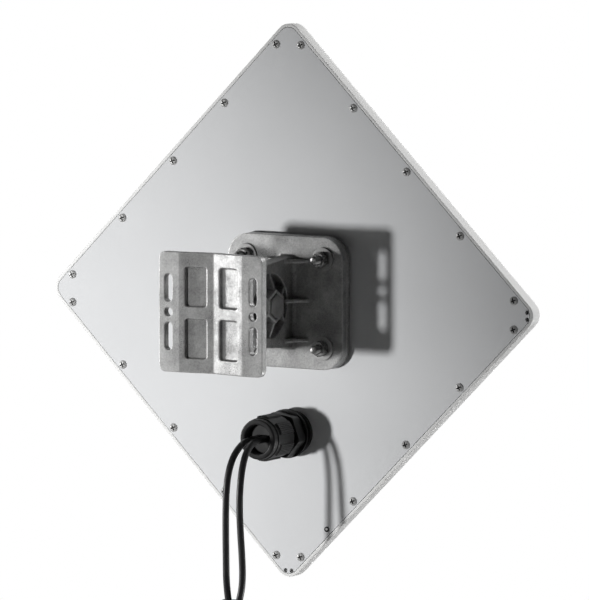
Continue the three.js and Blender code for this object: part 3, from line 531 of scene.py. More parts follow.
def cast(name: str, node: str, grain: float, passes: int) -> Object:
    """A copy of a CAD node with the soft edges of a casting, and how sharply it bulges as an attribute.

    Args:
        name: the copy's name.
        node: the CAD node.
        grain: the size of the new mesh's faces.
        passes: number of smoothing passes.

    Returns:
        The new object, with the float attribute "bulge" on its points.
    """
    piece = copied(name, node)
    remesh = piece.modifiers.new("remesh", "REMESH")
    remesh.mode = "VOXEL"
    remesh.voxel_size = grain
    smooth = piece.modifiers.new("smooth", "SMOOTH")
    smooth.factor = 0.5
    smooth.iterations = passes
    piece = applied(piece)
    mesh = piece.data
    mesh.polygons.foreach_set("use_smooth", np.ones(len(mesh.polygons), bool))
    write_bulge(mesh, grain)
    return piece


def write_bulge(mesh: bpy.types.Mesh, grain: float) -> None:
    """Writes how far each point stands out from its neighbours' mean, spread a little, as "bulge".

    The value is the dot product of the point's normal with the point less the mean of its neighbours,
    over the face size, and is then averaged with its neighbours a few times.

    Args:
        mesh: the mesh.
        grain: the size of its faces.
    """
    count = len(mesh.vertices)
    points = np.zeros(count * 3)
    normals = np.zeros(count * 3)
    edges = np.zeros(len(mesh.edges) * 2, np.int64)
    mesh.vertices.foreach_get("co", points)
    mesh.vertices.foreach_get("normal", normals)
    mesh.edges.foreach_get("vertices", edges)
    points, normals, edges = points.reshape(-1, 3), normals.reshape(-1, 3), edges.reshape(-1, 2)
    ends = np.concatenate([edges[:, 0], edges[:, 1]])
    others = np.concatenate([edges[:, 1], edges[:, 0]])
    degree = np.maximum(np.bincount(ends, minlength=count), 1)

    def mean(values: Array) -> Array:
        """The mean of each point's neighbours."""
        return np.bincount(ends, weights=values[others], minlength=count) / degree

    middle = np.stack([mean(points[:, axis]) for axis in range(3)], axis=-1)
    bulge = ((points - middle) * normals).sum(axis=1) / grain
    for _ in range(BULGE_PASSES):
        bulge = 0.5 * bulge + 0.5 * mean(bulge)
    attribute = mesh.attributes.new("bulge", "FLOAT", "POINT")
    attribute.data.foreach_set("value", bulge.astype(np.float32))


# ---------------------------------------------------------------- materials


@dataclass
class Wiring:
    """A node tree that is being wired."""

    tree: bpy.types.NodeTree

    def add(
        self, kind: str, inputs: Optional[dict[Union[str, int], SocketValue]] = None, **settings: object
    ) -> bpy.types.Node:
        """Adds a node, sets its properties and fills its inputs.

        Args:
            kind: the node's type name, without the "ShaderNode" in front that all but a group's ends have.
            inputs: input names or numbers and what goes in: a value, or a socket to link.
            **settings: the node's properties.

        Returns:
            The node.
        """
        node = self.tree.nodes.new(kind if kind.startswith("NodeGroup") else "ShaderNode" + kind)
        for name, value in settings.items():
            setattr(node, name, value)
        for name, value in (inputs or {}).items():
            self.fill(node.inputs[name], value)
        return node

    def fill(self, target: Socket, value: SocketValue) -> None:
        """Links a socket into another, or sets a constant on it."""
        if isinstance(value, bpy.types.NodeSocket):
            self.tree.links.new(value, target)
        else:
            target.default_value = value

    def noise(self, vector: Socket, scale: float, detail: float = 3.0, roughness: float = 0.55) -> Socket:
        """A noise value over a vector."""
        values = {"Vector": vector, "Scale": scale, "Detail": detail, "Roughness": roughness}
        return self.add("TexNoise", values).outputs["Fac"]

    def remap(self, value: Socket, low: float, high: float, new_low: float, new_high: float) -> Socket:
        """A value taken from one range to another, and kept inside it."""
        values = {0: value, 1: low, 2: high, 3: new_low, 4: new_high}
        return self.add("MapRange", values).outputs[0]

    def math(self, operation: str, first: SocketValue, second: SocketValue = 0.0) -> Socket:
        """One step of arithmetic."""
        return self.add("Math", {0: first, 1: second}, operation=operation).outputs[0]

    def mix(self, factor: Socket, first: SocketValue, second: SocketValue) -> Socket:
        """A colour between two colours.

        Args:
            factor: how far towards the second colour it is.
            first: the colour at 0.
            second: the colour at 1.

        Returns:
            The colour between them.
        """
        node = self.add("Mix", data_type="RGBA")
        self.fill(node.inputs["Factor"], factor)
        self.fill(node.inputs[6], first)
        self.fill(node.inputs[7], second)
        return node.outputs[2]

    def bump(self, height: Socket, strength: float, distance: float) -> Socket:
        """A normal bent by a height."""
        values = {"Height": height, "Strength": strength, "Distance": distance}
        return self.add("Bump", values).outputs["Normal"]


def colour(red: float, green: Optional[float] = None, blue: Optional[float] = None) -> tuple[float, ...]:
    """A linear colour with full alpha; one number makes a grey."""
    return (red, red if green is None else green, red if blue is None else blue, 1.0)


def shade(tone: tuple[float, ...], factor: float) -> tuple[float, ...]:
    """A colour made darker or lighter, and kept within range."""
    return tuple(min(1.0, factor * channel) for channel in tone[:3]) + (1.0,)


class SurfaceEffects:
    """The node groups that more than one material uses, each built once."""

    def __init__(self) -> None:
        """Builds both groups."""
        self.grain = self.build_grain()
        self.marks = self.build_marks()

    @staticmethod
    def start(name: str, inputs: Sequence[tuple[str, str]], outputs: Sequence[tuple[str, str]]) -> tuple:
        """An empty group with the given sockets.

        Args:
            name: the group's name.
            inputs: names and kinds of its inputs.
            outputs: names and kinds of its outputs.

        Returns:
            The group, its wiring, its input node and its output node.
        """
        group = bpy.data.node_groups.new(name, "ShaderNodeTree")
        for direction, sockets in (("INPUT", inputs), ("OUTPUT", outputs)):
            for label, kind in sockets:
                group.interface.new_socket(label, in_out=direction, socket_type="NodeSocket" + kind)
        wiring = Wiring(group)
        return group, wiring, wiring.add("NodeGroupInput"), wiring.add("NodeGroupOutput")

    def build_grain(self) -> bpy.types.NodeTree:
        """Fine moulded or blasted grain: two noises of neighbouring scales, as a height around a half.

        Returns:
            The group.
        """
        group, w, source, sink = self.start(
            "surface_grain", [("Vector", "Vector"), ("Scale", "Float")], [("Height", "Float")]
        )
        fine = w.add("TexNoise", {"Vector": source.outputs["Vector"], "Detail": 2.0})
        w.fill(fine.inputs["Scale"], source.outputs["Scale"])
        coarse = w.add("TexNoise", {"Vector": source.outputs["Vector"], "Detail": 3.0})
        w.fill(coarse.inputs["Scale"], w.math("MULTIPLY", source.outputs["Scale"], 0.31))
        mixed = w.math("MULTIPLY", w.math("ADD", fine.outputs["Fac"], coarse.outputs["Fac"]), 0.5)
        w.fill(sink.inputs["Height"], mixed)
        return group

    def build_marks(self) -> bpy.types.NodeTree:
        """Handling marks: a soft, uneven mask of slightly duller patches.

        Returns:
            The group.
        """
        group, w, source, sink = self.start(
            "handling_marks", [("Vector", "Vector"), ("Scale", "Float")], [("Mask", "Float")]
        )
        patches = w.add("TexNoise", {"Vector": source.outputs["Vector"], "Detail": 5.0, "Roughness": 0.65})
        w.fill(patches.inputs["Scale"], source.outputs["Scale"])
        w.fill(sink.inputs["Mask"], w.remap(patches.outputs["Fac"], 0.42, 0.7, 0.0, 1.0))
        return group


EFFECTS = SurfaceEffects()


@dataclass(frozen=True)
class Finish:
    """A plain finish, and what every other finish starts from.

    Args:
        name: the material's name.
        base: its linear colour.
        dull: the colour of its duller patches.
        roughness: its roughness, and how much its patches add.
        metallic: 1 for bare metal.
        grain: the scale of its grain, the bump's strength and its depth in metres.
        coat: the weight of a clear coat.
        specular: the level of its specular reflection.
        marks_scale: the scale of its handling marks.
        coat_roughness: the roughness of the clear coat.
    """

    name: str
    base: tuple[float, ...]
    dull: tuple[float, ...]
    roughness: tuple[float, float] = (0.5, 0.1)
    metallic: float = 0.0
    grain: tuple[float, float, float] = (1800.0, 0.2, 0.00004)
    coat: float = 0.0
    specular: float = 0.5
    marks_scale: float = 38.0
    coat_roughness: float = 0.12

    def material(self) -> Material:
        """The finish's material, built on first use.

        Returns:
            The material.
        """
        known = bpy.data.materials.get(self.name)
        if known is not None:
            return known
        made = bpy.data.materials.new(self.name)
        made.use_nodes = True
        made.node_tree.nodes.clear()
        w = Wiring(made.node_tree)
        place = w.add("TexCoord").outputs["Object"]
        shader = w.add("BsdfPrincipled", {"Metallic": self.metallic, "Specular IOR Level": self.specular})
        shader.inputs["Coat Weight"].default_value = self.coat
        shader.inputs["Coat Roughness"].default_value = self.coat_roughness
        self.dress(w, place, shader)
        w.add("OutputMaterial", {"Surface": shader.outputs["BSDF"]})
        made.diffuse_color = self.base
        return made

    def group(self, w: Wiring, tree: bpy.types.NodeTree, place: Socket, scale: float) -> Socket:
        """Places a shared effect.

        Args:
            w: the material's wiring.
            tree: the effect's group.
            place: object coordinates.
            scale: the effect's scale.

        Returns:
            The group's only output.
        """
        node = w.add("Group", node_tree=tree)
        w.fill(node.inputs["Vector"], place)
        node.inputs["Scale"].default_value = scale
        return node.outputs[0]

    def dress(self, w: Wiring, place: Socket, shader: bpy.types.Node) -> None:
        """Wires colour, roughness and grain.

        Args:
            w: the material's wiring.
            place: object coordinates.
            shader: the principled shader.
        """
        marks = self.group(w, EFFECTS.marks, place, self.marks_scale)
        w.fill(shader.inputs["Base Color"], w.mix(marks, self.base, self.dull))
        low, extra = self.roughness
        w.fill(shader.inputs["Roughness"], w.remap(marks, 0.0, 1.0, low, low + extra))
        height = self.group(w, EFFECTS.grain, place, self.grain[0])
        w.fill(shader.inputs["Normal"], w.bump(height, self.grain[1], self.grain[2]))


@dataclass(frozen=True)
class CastFinish(Finish):
    """Raw tumbled aluminium: speckled and mottled, lighter where it bulges from wear, and darker in its
    hollows from painted shade.
    """

    def dress(self, w: Wiring, place: Socket, shader: bpy.types.Node) -> None:
        """Wires the mottling, the worn edges, the painted shade in the hollows and the pebbled skin.

        Args:
            w: the material's wiring.
            place: object coordinates.
            shader: the principled shader.
        """
        blotch = w.remap(w.noise(place, 70.0, 4.0, 0.6), 0.35, 0.68, 0.0, 1.0)
        speck = w.remap(w.noise(place, 520.0, 3.0, 0.7), 0.36, 0.66, 0.0, 1.0)
        stain = w.remap(w.noise(place, 22.0, 3.0, 0.5), 0.5, 0.75, 0.0, 0.6)
        mottle = w.math("ADD", w.math("MULTIPLY", blotch, 0.55), w.math("MULTIPLY", speck, 0.45))
        skin = w.mix(mottle, self.dull, self.base)
        skin = w.mix(stain, skin, shade(self.dull, 0.55))
        patch = w.remap(w.noise(place, 28.0, 3.0, 0.6), 0.5, 0.62, 0.0, 0.7)
        pits = w.remap(w.noise(place, 1100.0, 2.0, 0.7), 0.54, 0.62, 0.0, 1.0)
        skin = w.mix(w.math("MULTIPLY", patch, pits), skin, shade(self.dull, 0.22))
        bulge = w.add("Attribute", attribute_name="bulge").outputs["Fac"]
        worn = w.remap(bulge, 0.02, 0.12, 0.0, 0.75)
        # Painted shade: points in hollows, where the bulge is below zero, are darkened towards half the
        # dull colour.
        hollow_shade = w.remap(bulge, -0.02, -0.12, 0.0, 0.45)
        worn = w.math("MULTIPLY", worn, w.remap(speck, 0.0, 1.0, 0.5, 1.0))
        skin = w.mix(worn, skin, shade(self.base, 1.28))
        # Paints the shade into the hollows.
        skin = w.mix(hollow_shade, skin, shade(self.dull, 0.5))
        w.fill(shader.inputs["Base Color"], skin)
        low, extra = self.roughness
        w.fill(shader.inputs["Roughness"], w.remap(mottle, 0.0, 1.0, low + extra, low))
        pebble = self.group(w, EFFECTS.grain, place, self.grain[0])
        height = w.math("ADD", pebble, w.math("MULTIPLY", blotch, 0.6))
        w.fill(shader.inputs["Normal"], w.bump(height, self.grain[1], self.grain[2]))


@dataclass(frozen=True)
class ScrewFinish(Finish):
    """A driven screw: the plain finish, with painted shade darkening its recess."""

    # The near-black colour of the painted shade in the recess.
    recess_shade_tone: tuple[float, ...] = colour(0.012)

    def dress(self, w: Wiring, place: Socket, shader: bpy.types.Node) -> None:
        """Wires the plain finish, then paints shade into the recess.

        Args:
            w: the material's wiring.
            place: object coordinates.
            shader: the principled shader.
        """
        Finish.dress(self, w, place, shader)
        skin = shader.inputs["Base Color"].links[0].from_socket
        # Painted shade: the deeper a point lies in the recess, the nearer its colour goes to near black.
        depth = w.add("Attribute", attribute_name="recess").outputs["Fac"]
        recess_shade_mask = w.remap(depth, 0.05, 0.4, 0.0, 0.95)
        w.fill(shader.inputs["Base Color"], w.mix(recess_shade_mask, skin, self.recess_shade_tone))


@dataclass(frozen=True)
class SheetFinish(Finish):
    """Satin anodised sheet: an even colour with a faint rolled grain along one way."""

    def dress(self, w: Wiring, place: Socket, shader: bpy.types.Node) -> None:
        """Wires the rolled grain and faint handling marks.

        Args:
            w: the material's wiring.
            place: object coordinates.
            shader: the principled shader.
        """
        marks = self.group(w, EFFECTS.marks, place, self.marks_scale)
        w.fill(shader.inputs["Base Color"], w.mix(marks, self.base, self.dull))
        stretched = w.add("Mapping", {"Vector": place, "Scale": (1.0, 1.0, 0.06)}).outputs[0]
        lines = w.noise(stretched, 900.0, 2.0, 0.6)
        low, extra = self.roughness
        w.fill(shader.inputs["Roughness"], w.remap(lines, 0.3, 0.7, low, low + extra))
        grain = self.group(w, EFFECTS.grain, place, self.grain[0])
        height = w.math("ADD", grain, w.math("MULTIPLY", lines, 0.5))
        w.fill(shader.inputs["Normal"], w.bump(height, self.grain[1], self.grain[2]))


WHITE_PLASTIC = Finish(
    "radome_white_plastic", colour(0.7, 0.7, 0.695), colour(0.665, 0.665, 0.655), (0.42, 0.1),
    grain=(1500.0, 0.12, 0.00003),
)
SATIN_SHEET = SheetFinish(
    "satin_anodised_sheet", colour(0.62, 0.627, 0.635), colour(0.605, 0.612, 0.62), (0.55, 0.06), 0.0,
    grain=(2600.0, 0.06, 0.00002), specular=0.25, marks_scale=9.0,
)
RAW_CASTING = CastFinish(
    "raw_cast_aluminium", colour(0.54, 0.54, 0.536), colour(0.27, 0.27, 0.268), (0.38, 0.2), 0.52,
    grain=(900.0, 0.45, 0.00014),
)
STAINLESS = Finish(
    "stainless_fastener", colour(0.42, 0.42, 0.415), colour(0.32, 0.32, 0.315), (0.24, 0.12), 1.0,
    grain=(2600.0, 0.15, 0.00002),
)
ZINC_PLATE = Finish(
    "zinc_plated_steel", colour(0.46, 0.46, 0.455), colour(0.3, 0.3, 0.297), (0.46, 0.16), 0.55,
    grain=(2000.0, 0.2, 0.00003),
)
SCREW_STEEL = ScrewFinish(
    "screw_steel", colour(0.5, 0.5, 0.495), colour(0.38, 0.38, 0.376), (0.42, 0.15), 0.4,
    grain=(3000.0, 0.15, 0.00002),
)
BLACK_NYLON = Finish(
    "black_nylon", colour(0.006, 0.006, 0.0062), colour(0.01, 0.01, 0.01), (0.42, 0.14),
    grain=(2200.0, 0.25, 0.00004), specular=0.35,
)
BLACK_RUBBER = Finish(
    "black_rubber_seal", colour(0.014, 0.014, 0.014), colour(0.022, 0.022, 0.022), (0.6, 0.15),
    grain=(2500.0, 0.3, 0.00005),
)
GREY_RUBBER = Finish(
    "grey_rubber_insert", colour(0.05, 0.05, 0.05), colour(0.038, 0.038, 0.038), (0.68, 0.12),
    grain=(2200.0, 0.3, 0.00005), specular=0.3,
)
JACKET = Finish(
    "cable_jacket_black", colour(0.011, 0.011, 0.012), colour(0.018, 0.018, 0.018), (0.38, 0.14),
    grain=(1600.0, 0.25, 0.00005),
)
CLEAR_PLUG = Finish(
    "moulded_plug_clear", colour(0.62, 0.64, 0.65), colour(0.55, 0.57, 0.58), (0.15, 0.08),
    grain=(1200.0, 0.08, 0.00002), coat=0.4,
)
CONTACT_GOLD = Finish(
    "contact_gold", colour(0.78, 0.56, 0.2), colour(0.66, 0.46, 0.16), (0.2, 0.1), 1.0,
    grain=(3000.0, 0.08, 0.00001),
)
VENT_WHITE = Finish(
    "vent_membrane_white", colour(0.78, 0.78, 0.77), colour(0.7, 0.7, 0.69), (0.7, 0.1),
    grain=(5000.0, 0.3, 0.00003),
)
SOLDER_MASK = Finish(
    "solder_mask_green", colour(0.02, 0.12, 0.05), colour(0.03, 0.16, 0.07), (0.3, 0.1),
    grain=(900.0, 0.1, 0.00003),
)
TINPLATE = Finish(
    "bright_tinplate", colour(0.66, 0.66, 0.63), colour(0.56, 0.56, 0.53), (0.25, 0.12), 1.0,
    grain=(1500.0, 0.1, 0.00002),
)


# ---------------------------------------------------------------- sub-assemblies


@dataclass
class PanelAxes:
    """The panel's own axes: its sides lie along U and V, turned by an eighth of a turn from X and Z.

    Attributes:
        corner_radius: the housing's corner radius.
        centre: the panel's middle, at the back plate's outer face.
        side: the housing's side.
    """

    corner_radius: float = 14.0 * MM
    centre: Vector = field(init=False)
    side: float = field(init=False)

    def __post_init__(self) -> None:
        """Measures the panel on its CAD nodes."""
        low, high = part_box("radome")
        plate_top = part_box("back_plate")[1].y
        self.centre = Vector(((low.x + high.x) / 2, plate_top, (low.z + high.z) / 2))
        lost = 2 * self.corner_radius * (math.sqrt(2.0) - 1.0)
        self.side = (high.x - low.x + lost) / math.sqrt(2.0)

    def place(self, u: Array, v: Array, y: Array) -> Array:
        """Points given by the panel's own axes and their height over the back plate.

        Args:
            u: distances along one side.
            v: distances along the other side.
            y: heights over the back plate's outer face.

        Returns:
            The points, in the model's frame.
        """
        u, v, y = np.broadcast_arrays(u, v, y)
        half = math.sqrt(0.5)
        x, z = (u - v) * half, (u + v) * half
        return np.stack([x + self.centre.x, y + self.centre.y, z + self.centre.z], axis=-1)


class SubAssembly:
    """What every sub-assembly shares: handing over a finished piece."""

    def deliver(self, piece: Object, body: Body, slot: Slot, finish: Finish, *replaced: str) -> Object:
        """Dresses a piece, hangs it on the body that it rides on, and hides the CAD nodes that it stands
        for.

        Args:
            piece: the finished object.
            body: the body that it rides on.
            slot: the record's slot for it; not used.
            finish: its finish.
            *replaced: the CAD nodes that it stands for.

        Returns:
            The same piece.
        """
        piece.data.materials.clear()
        piece.data.materials.append(finish.material())
        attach(piece, body.value)
        if replaced:
            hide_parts(*replaced)
        LOG.info("%s: %d faces", piece.name, len(piece.data.polygons))
        return piece

    def dress_node(self, node: str, finish: Finish) -> None:
        """Gives a CAD node that stays a better material.

        Args:
            node: the CAD node.
            finish: its finish.
        """
        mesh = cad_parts[node].data
        mesh.materials.clear()
        mesh.materials.append(finish.material())
        LOG.info("%s: kept", node)


@dataclass
class Housing(SubAssembly):
    """The radome tray, the back plate with its gasket, and the boards inside."""

    axes: PanelAxes
    edge_radius: float = 9.0 * MM
    lip_width: float = 3.0 * MM
    lip_round: float = 0.8 * MM
    ledge_inset: float = 14.0 * MM
    wall: float = 2.5 * MM
    gasket_gap: float = 0.05 * MM
    least_corner: float = 2.0 * MM
    corner_steps: int = 12
    edge_steps: int = 9

    def build(self) -> None:
        """Builds and dresses every piece of the housing."""
        self.radome()
        plate = edged("back_plate_sheet", "back_plate", 0.45 * MM)
        self.deliver(plate, Body.PANEL, Slot.BACK_PLATE, SATIN_SHEET, "back_plate")
        gasket = edged("perimeter_seal", "perimeter_gasket", 0.3 * MM, 1)
        self.deliver(gasket, Body.PANEL, Slot.RUBBER, BLACK_RUBBER, "perimeter_gasket")
        for node in ("antenna_board", "radio_board"):
            self.dress_node(node, SOLDER_MASK)
        for node in ("shield_can", "dual_ethernet_jack"):
            self.dress_node(node, TINPLATE)

    def radome(self) -> None:
        """The tray, as rings of a rounded square.

        A ring of inset d and height y is the housing's outline drawn in by d. The rings run from the
        middle of the floor inside, over the ledge and the lip, down the outside, round the front edge and
        to the middle of the front.
        """
        low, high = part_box("radome")
        depth = high.y - low.y
        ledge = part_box("perimeter_gasket")[0].y - self.axes.centre.y - self.gasket_gap
        half = self.axes.side / 2
        lip = self.lip_width
        inside = softened(
            [
                (half, -depth + self.wall),
                (self.ledge_inset, -depth + self.wall),
                (self.ledge_inset, ledge),
                (lip, ledge),
                (lip, 0.0),
                (0.0, 0.0),
                (0.0, -depth + self.edge_radius),
            ],
            self.lip_round,
            4,
        )
        quarter = np.linspace(0.0, math.pi / 2, self.edge_steps + 1)[1:]
        front = np.stack(
            [
                self.edge_radius * (1 - np.cos(quarter)),
                -depth + self.edge_radius * (1 - np.sin(quarter)),
            ],
            axis=-1,
        )
        profile = np.concatenate([inside, front, [[half * 0.5, -depth], [half, -depth]]])
        rings = []
        for inset, y in profile:
            side = max(self.axes.side - 2 * inset, 0.0)
            corner = min(max(self.axes.corner_radius - inset, self.least_corner), side / 2)
            ring = rounded_rectangle(side, side, corner, self.corner_steps)
            rings.append(self.axes.place(ring[:, 0], ring[:, 1], y))
        points = np.stack(rings)
        faces = grid_faces(len(rings), points.shape[1], False, True)
        tray = make_object("radome_tray", points, faces, 35.0)
        self.deliver(tray, Body.PANEL, Slot.RADOME, WHITE_PLASTIC, "radome")


@dataclass
class CoverScrews(SubAssembly):
    """The pan-head screws around the back plate.

    Attributes:
        axes: the panel's own axes.
        count: number of screws.
        dome_power: how squarely the dome falls off towards its rim.
        cross_slope: the slope at the recess's ends, as a share of the head's radius.
        cross_turn: how far each recess is turned.
    """

    axes: PanelAxes
    count: int = 20
    head_radius: float = 4.0 * MM
    head_height: float = 2.2 * MM
    rim_height: float = 0.7 * MM
    dome_power: float = 2.4
    seat_gap: float = 0.06 * MM
    shank_radius: float = 2.0 * MM
    shank_length: float = 9.0 * MM
    cross_length: float = 4.7 * MM
    cross_width: float = 1.3 * MM
    cross_depth: float = 1.5 * MM
    cross_slope: float = 0.06
    cross_turn: float = math.radians(23.0)

    def build(self) -> None:
        """Builds a screw for each CAD screw."""
        for index in range(1, self.count + 1):
            self.screw(index)

    def screw(self, index: int) -> None:
        """One screw: a domed head with a cross recess, and its shank.

        Args:
            index: which of the screws it is.
        """
        node = f"cover_screw_{index:02d}"
        x, _, z = box_middle(node)
        seat = np.array(Vector((x, self.axes.centre.y, z)))
        top = self.head_top()
        size = len(top)
        edge = np.concatenate([top[0, :-1], top[:-1, -1], top[-1, :0:-1], top[:0:-1, 0]])
        skirt = self.skirt(edge)
        top_faces = grid_faces(size, size, False, False)
        skirt_faces = grid_faces(len(skirt), len(edge), False, True) + size * size
        x, y, z = np.concatenate([top.reshape(-1, 3), skirt.reshape(-1, 3)]).T
        cos, sin = math.cos(self.cross_turn), math.sin(self.cross_turn)
        points = np.stack([x * cos + z * sin, y, -x * sin + z * cos], axis=-1) + seat
        faces = np.concatenate([top_faces, skirt_faces])
        screw = make_object(f"pan_screw_{index:02d}", points, faces, 32.0)
        self.mark_recess(screw.data, seat)
        self.deliver(screw, Body.PANEL, Slot.FASTENER, SCREW_STEEL, node)

    def dome(self, radius: Array) -> Array:
        """The head's height without its recess, for a radius of 0 to 1 at the rim."""
        return self.rim_height + (self.head_height - self.rim_height) * (1 - radius**self.dome_power)

    def head_top(self) -> Array:
        """The head's top, as a square grid drawn onto a disc.

        A grid point (u, v) goes to x = u sqrt(1 - v^2/2) and y = v sqrt(1 - u^2/2). Its height is the
        dome's, less the recess's depth where |u| or |v| lies within the cross.

        Returns:
            A grid of points around the middle of the head's seat.
        """
        arm = self.cross_length / 2 / self.head_radius
        width = self.cross_width / 2 / self.head_radius
        half = [width * 0.75, width, arm * 0.55, arm, arm + self.cross_slope, 0.76, 0.9, 1.0]
        knots = np.array([-k for k in reversed(half)] + [0.0] + half)
        u, v = np.meshgrid(knots, knots, indexing="ij")
        x, y = u * np.sqrt(1 - v**2 / 2), v * np.sqrt(1 - u**2 / 2)
        inside = np.maximum(
            self.within(u, arm, self.cross_slope) * self.within(v, width * 0.75, width * 0.3),
            self.within(v, arm, self.cross_slope) * self.within(u, width * 0.75, width * 0.3),
        )
        height = self.dome(np.hypot(x, y)) - inside * self.cross_depth
        return np.stack([x * self.head_radius, height, y * self.head_radius], axis=-1)

    def skirt(self, edge: Array) -> Array:
        """The head's side and seat and the shank, as circles below the edge of the head's top.

        Args:
            edge: the points around the edge of the head's top.

        Returns:
            Rings of points, from the edge down.
        """
        direction = edge[:, [0, 2]] / np.linalg.norm(edge[:, [0, 2]], axis=1, keepdims=True)
        rings = [edge]
        for reach, height in (
            (self.head_radius, self.seat_gap),
            (self.shank_radius, self.seat_gap),
            (self.shank_radius, -self.shank_length),
            (0.0, -self.shank_length),
        ):
            x, z = (direction * reach).T
            rings.append(np.stack([x, np.full(len(edge), height), z], axis=-1))
        return np.stack(rings)

    def mark_recess(self, mesh: bpy.types.Mesh, seat: Array) -> None:
        """Writes how far each point lies below the dome, as a share of the recess's depth.

        Args:
            mesh: the screw's mesh.
            seat: the middle of the head's seat.
        """
        points = np.zeros(len(mesh.vertices) * 3)
        mesh.vertices.foreach_get("co", points)
        x, y, z = (points.reshape(-1, 3) - seat).T
        below = (self.dome(np.hypot(x, z) / self.head_radius) - y) / self.cross_depth
        # The screw's finish reads this depth to paint shade into the recess.
        attribute = mesh.attributes.new("recess", "FLOAT", "POINT")
        attribute.data.foreach_set("value", np.where(y > self.seat_gap + 0.04 * MM, below, 0.0))

    @staticmethod
    def within(value: Array, edge: float, slope: float) -> Array:
        """One inside the edge, falling to nothing over the slope past it."""
        return np.clip(1.0 - (np.abs(value) - edge) / slope, 0.0, 1.0)


@dataclass
class Vent(SubAssembly):
    """The pressure vent by the bottom corner: a black plug around a white membrane."""

    axes: PanelAxes
    bore: float = 1.2 * MM
    stem: float = 1.7 * MM
    stem_length: float = 2.5 * MM
    flange_height: float = 0.8 * MM
    seat_gap: float = 0.05 * MM
    membrane_rim: float = 0.45 * MM
    membrane_crown: float = 0.55 * MM

    def build(self) -> None:
        """Builds the plug and its membrane."""
        low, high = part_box("vent_plug")
        x, _, z = box_middle("vent_plug")
        centre = (x, self.axes.centre.y, z)
        outer = (high.x - low.x) / 2
        profile = softened(
            [
                (self.bore, -self.stem_length),
                (self.bore, self.flange_height),
                (outer, self.flange_height),
                (outer, self.seat_gap),
                (self.stem, self.seat_gap),
                (self.stem, -self.stem_length),
            ],
            0.25 * MM,
            closed=True,
        )
        plug = turned("vent_ring", profile, centre, sides=40, closed=True)
        self.deliver(plug, Body.PANEL, Slot.NYLON, BLACK_NYLON, "vent_plug")
        reach = self.bore * 0.98
        disc = np.array([(0.0, 0.0), (reach, 0.0), (reach, self.membrane_rim), (0.0, self.membrane_crown)])
        membrane = turned("vent_membrane", disc, centre, sides=32)
        self.deliver(membrane, Body.PANEL, Slot.RADOME, VENT_WHITE)


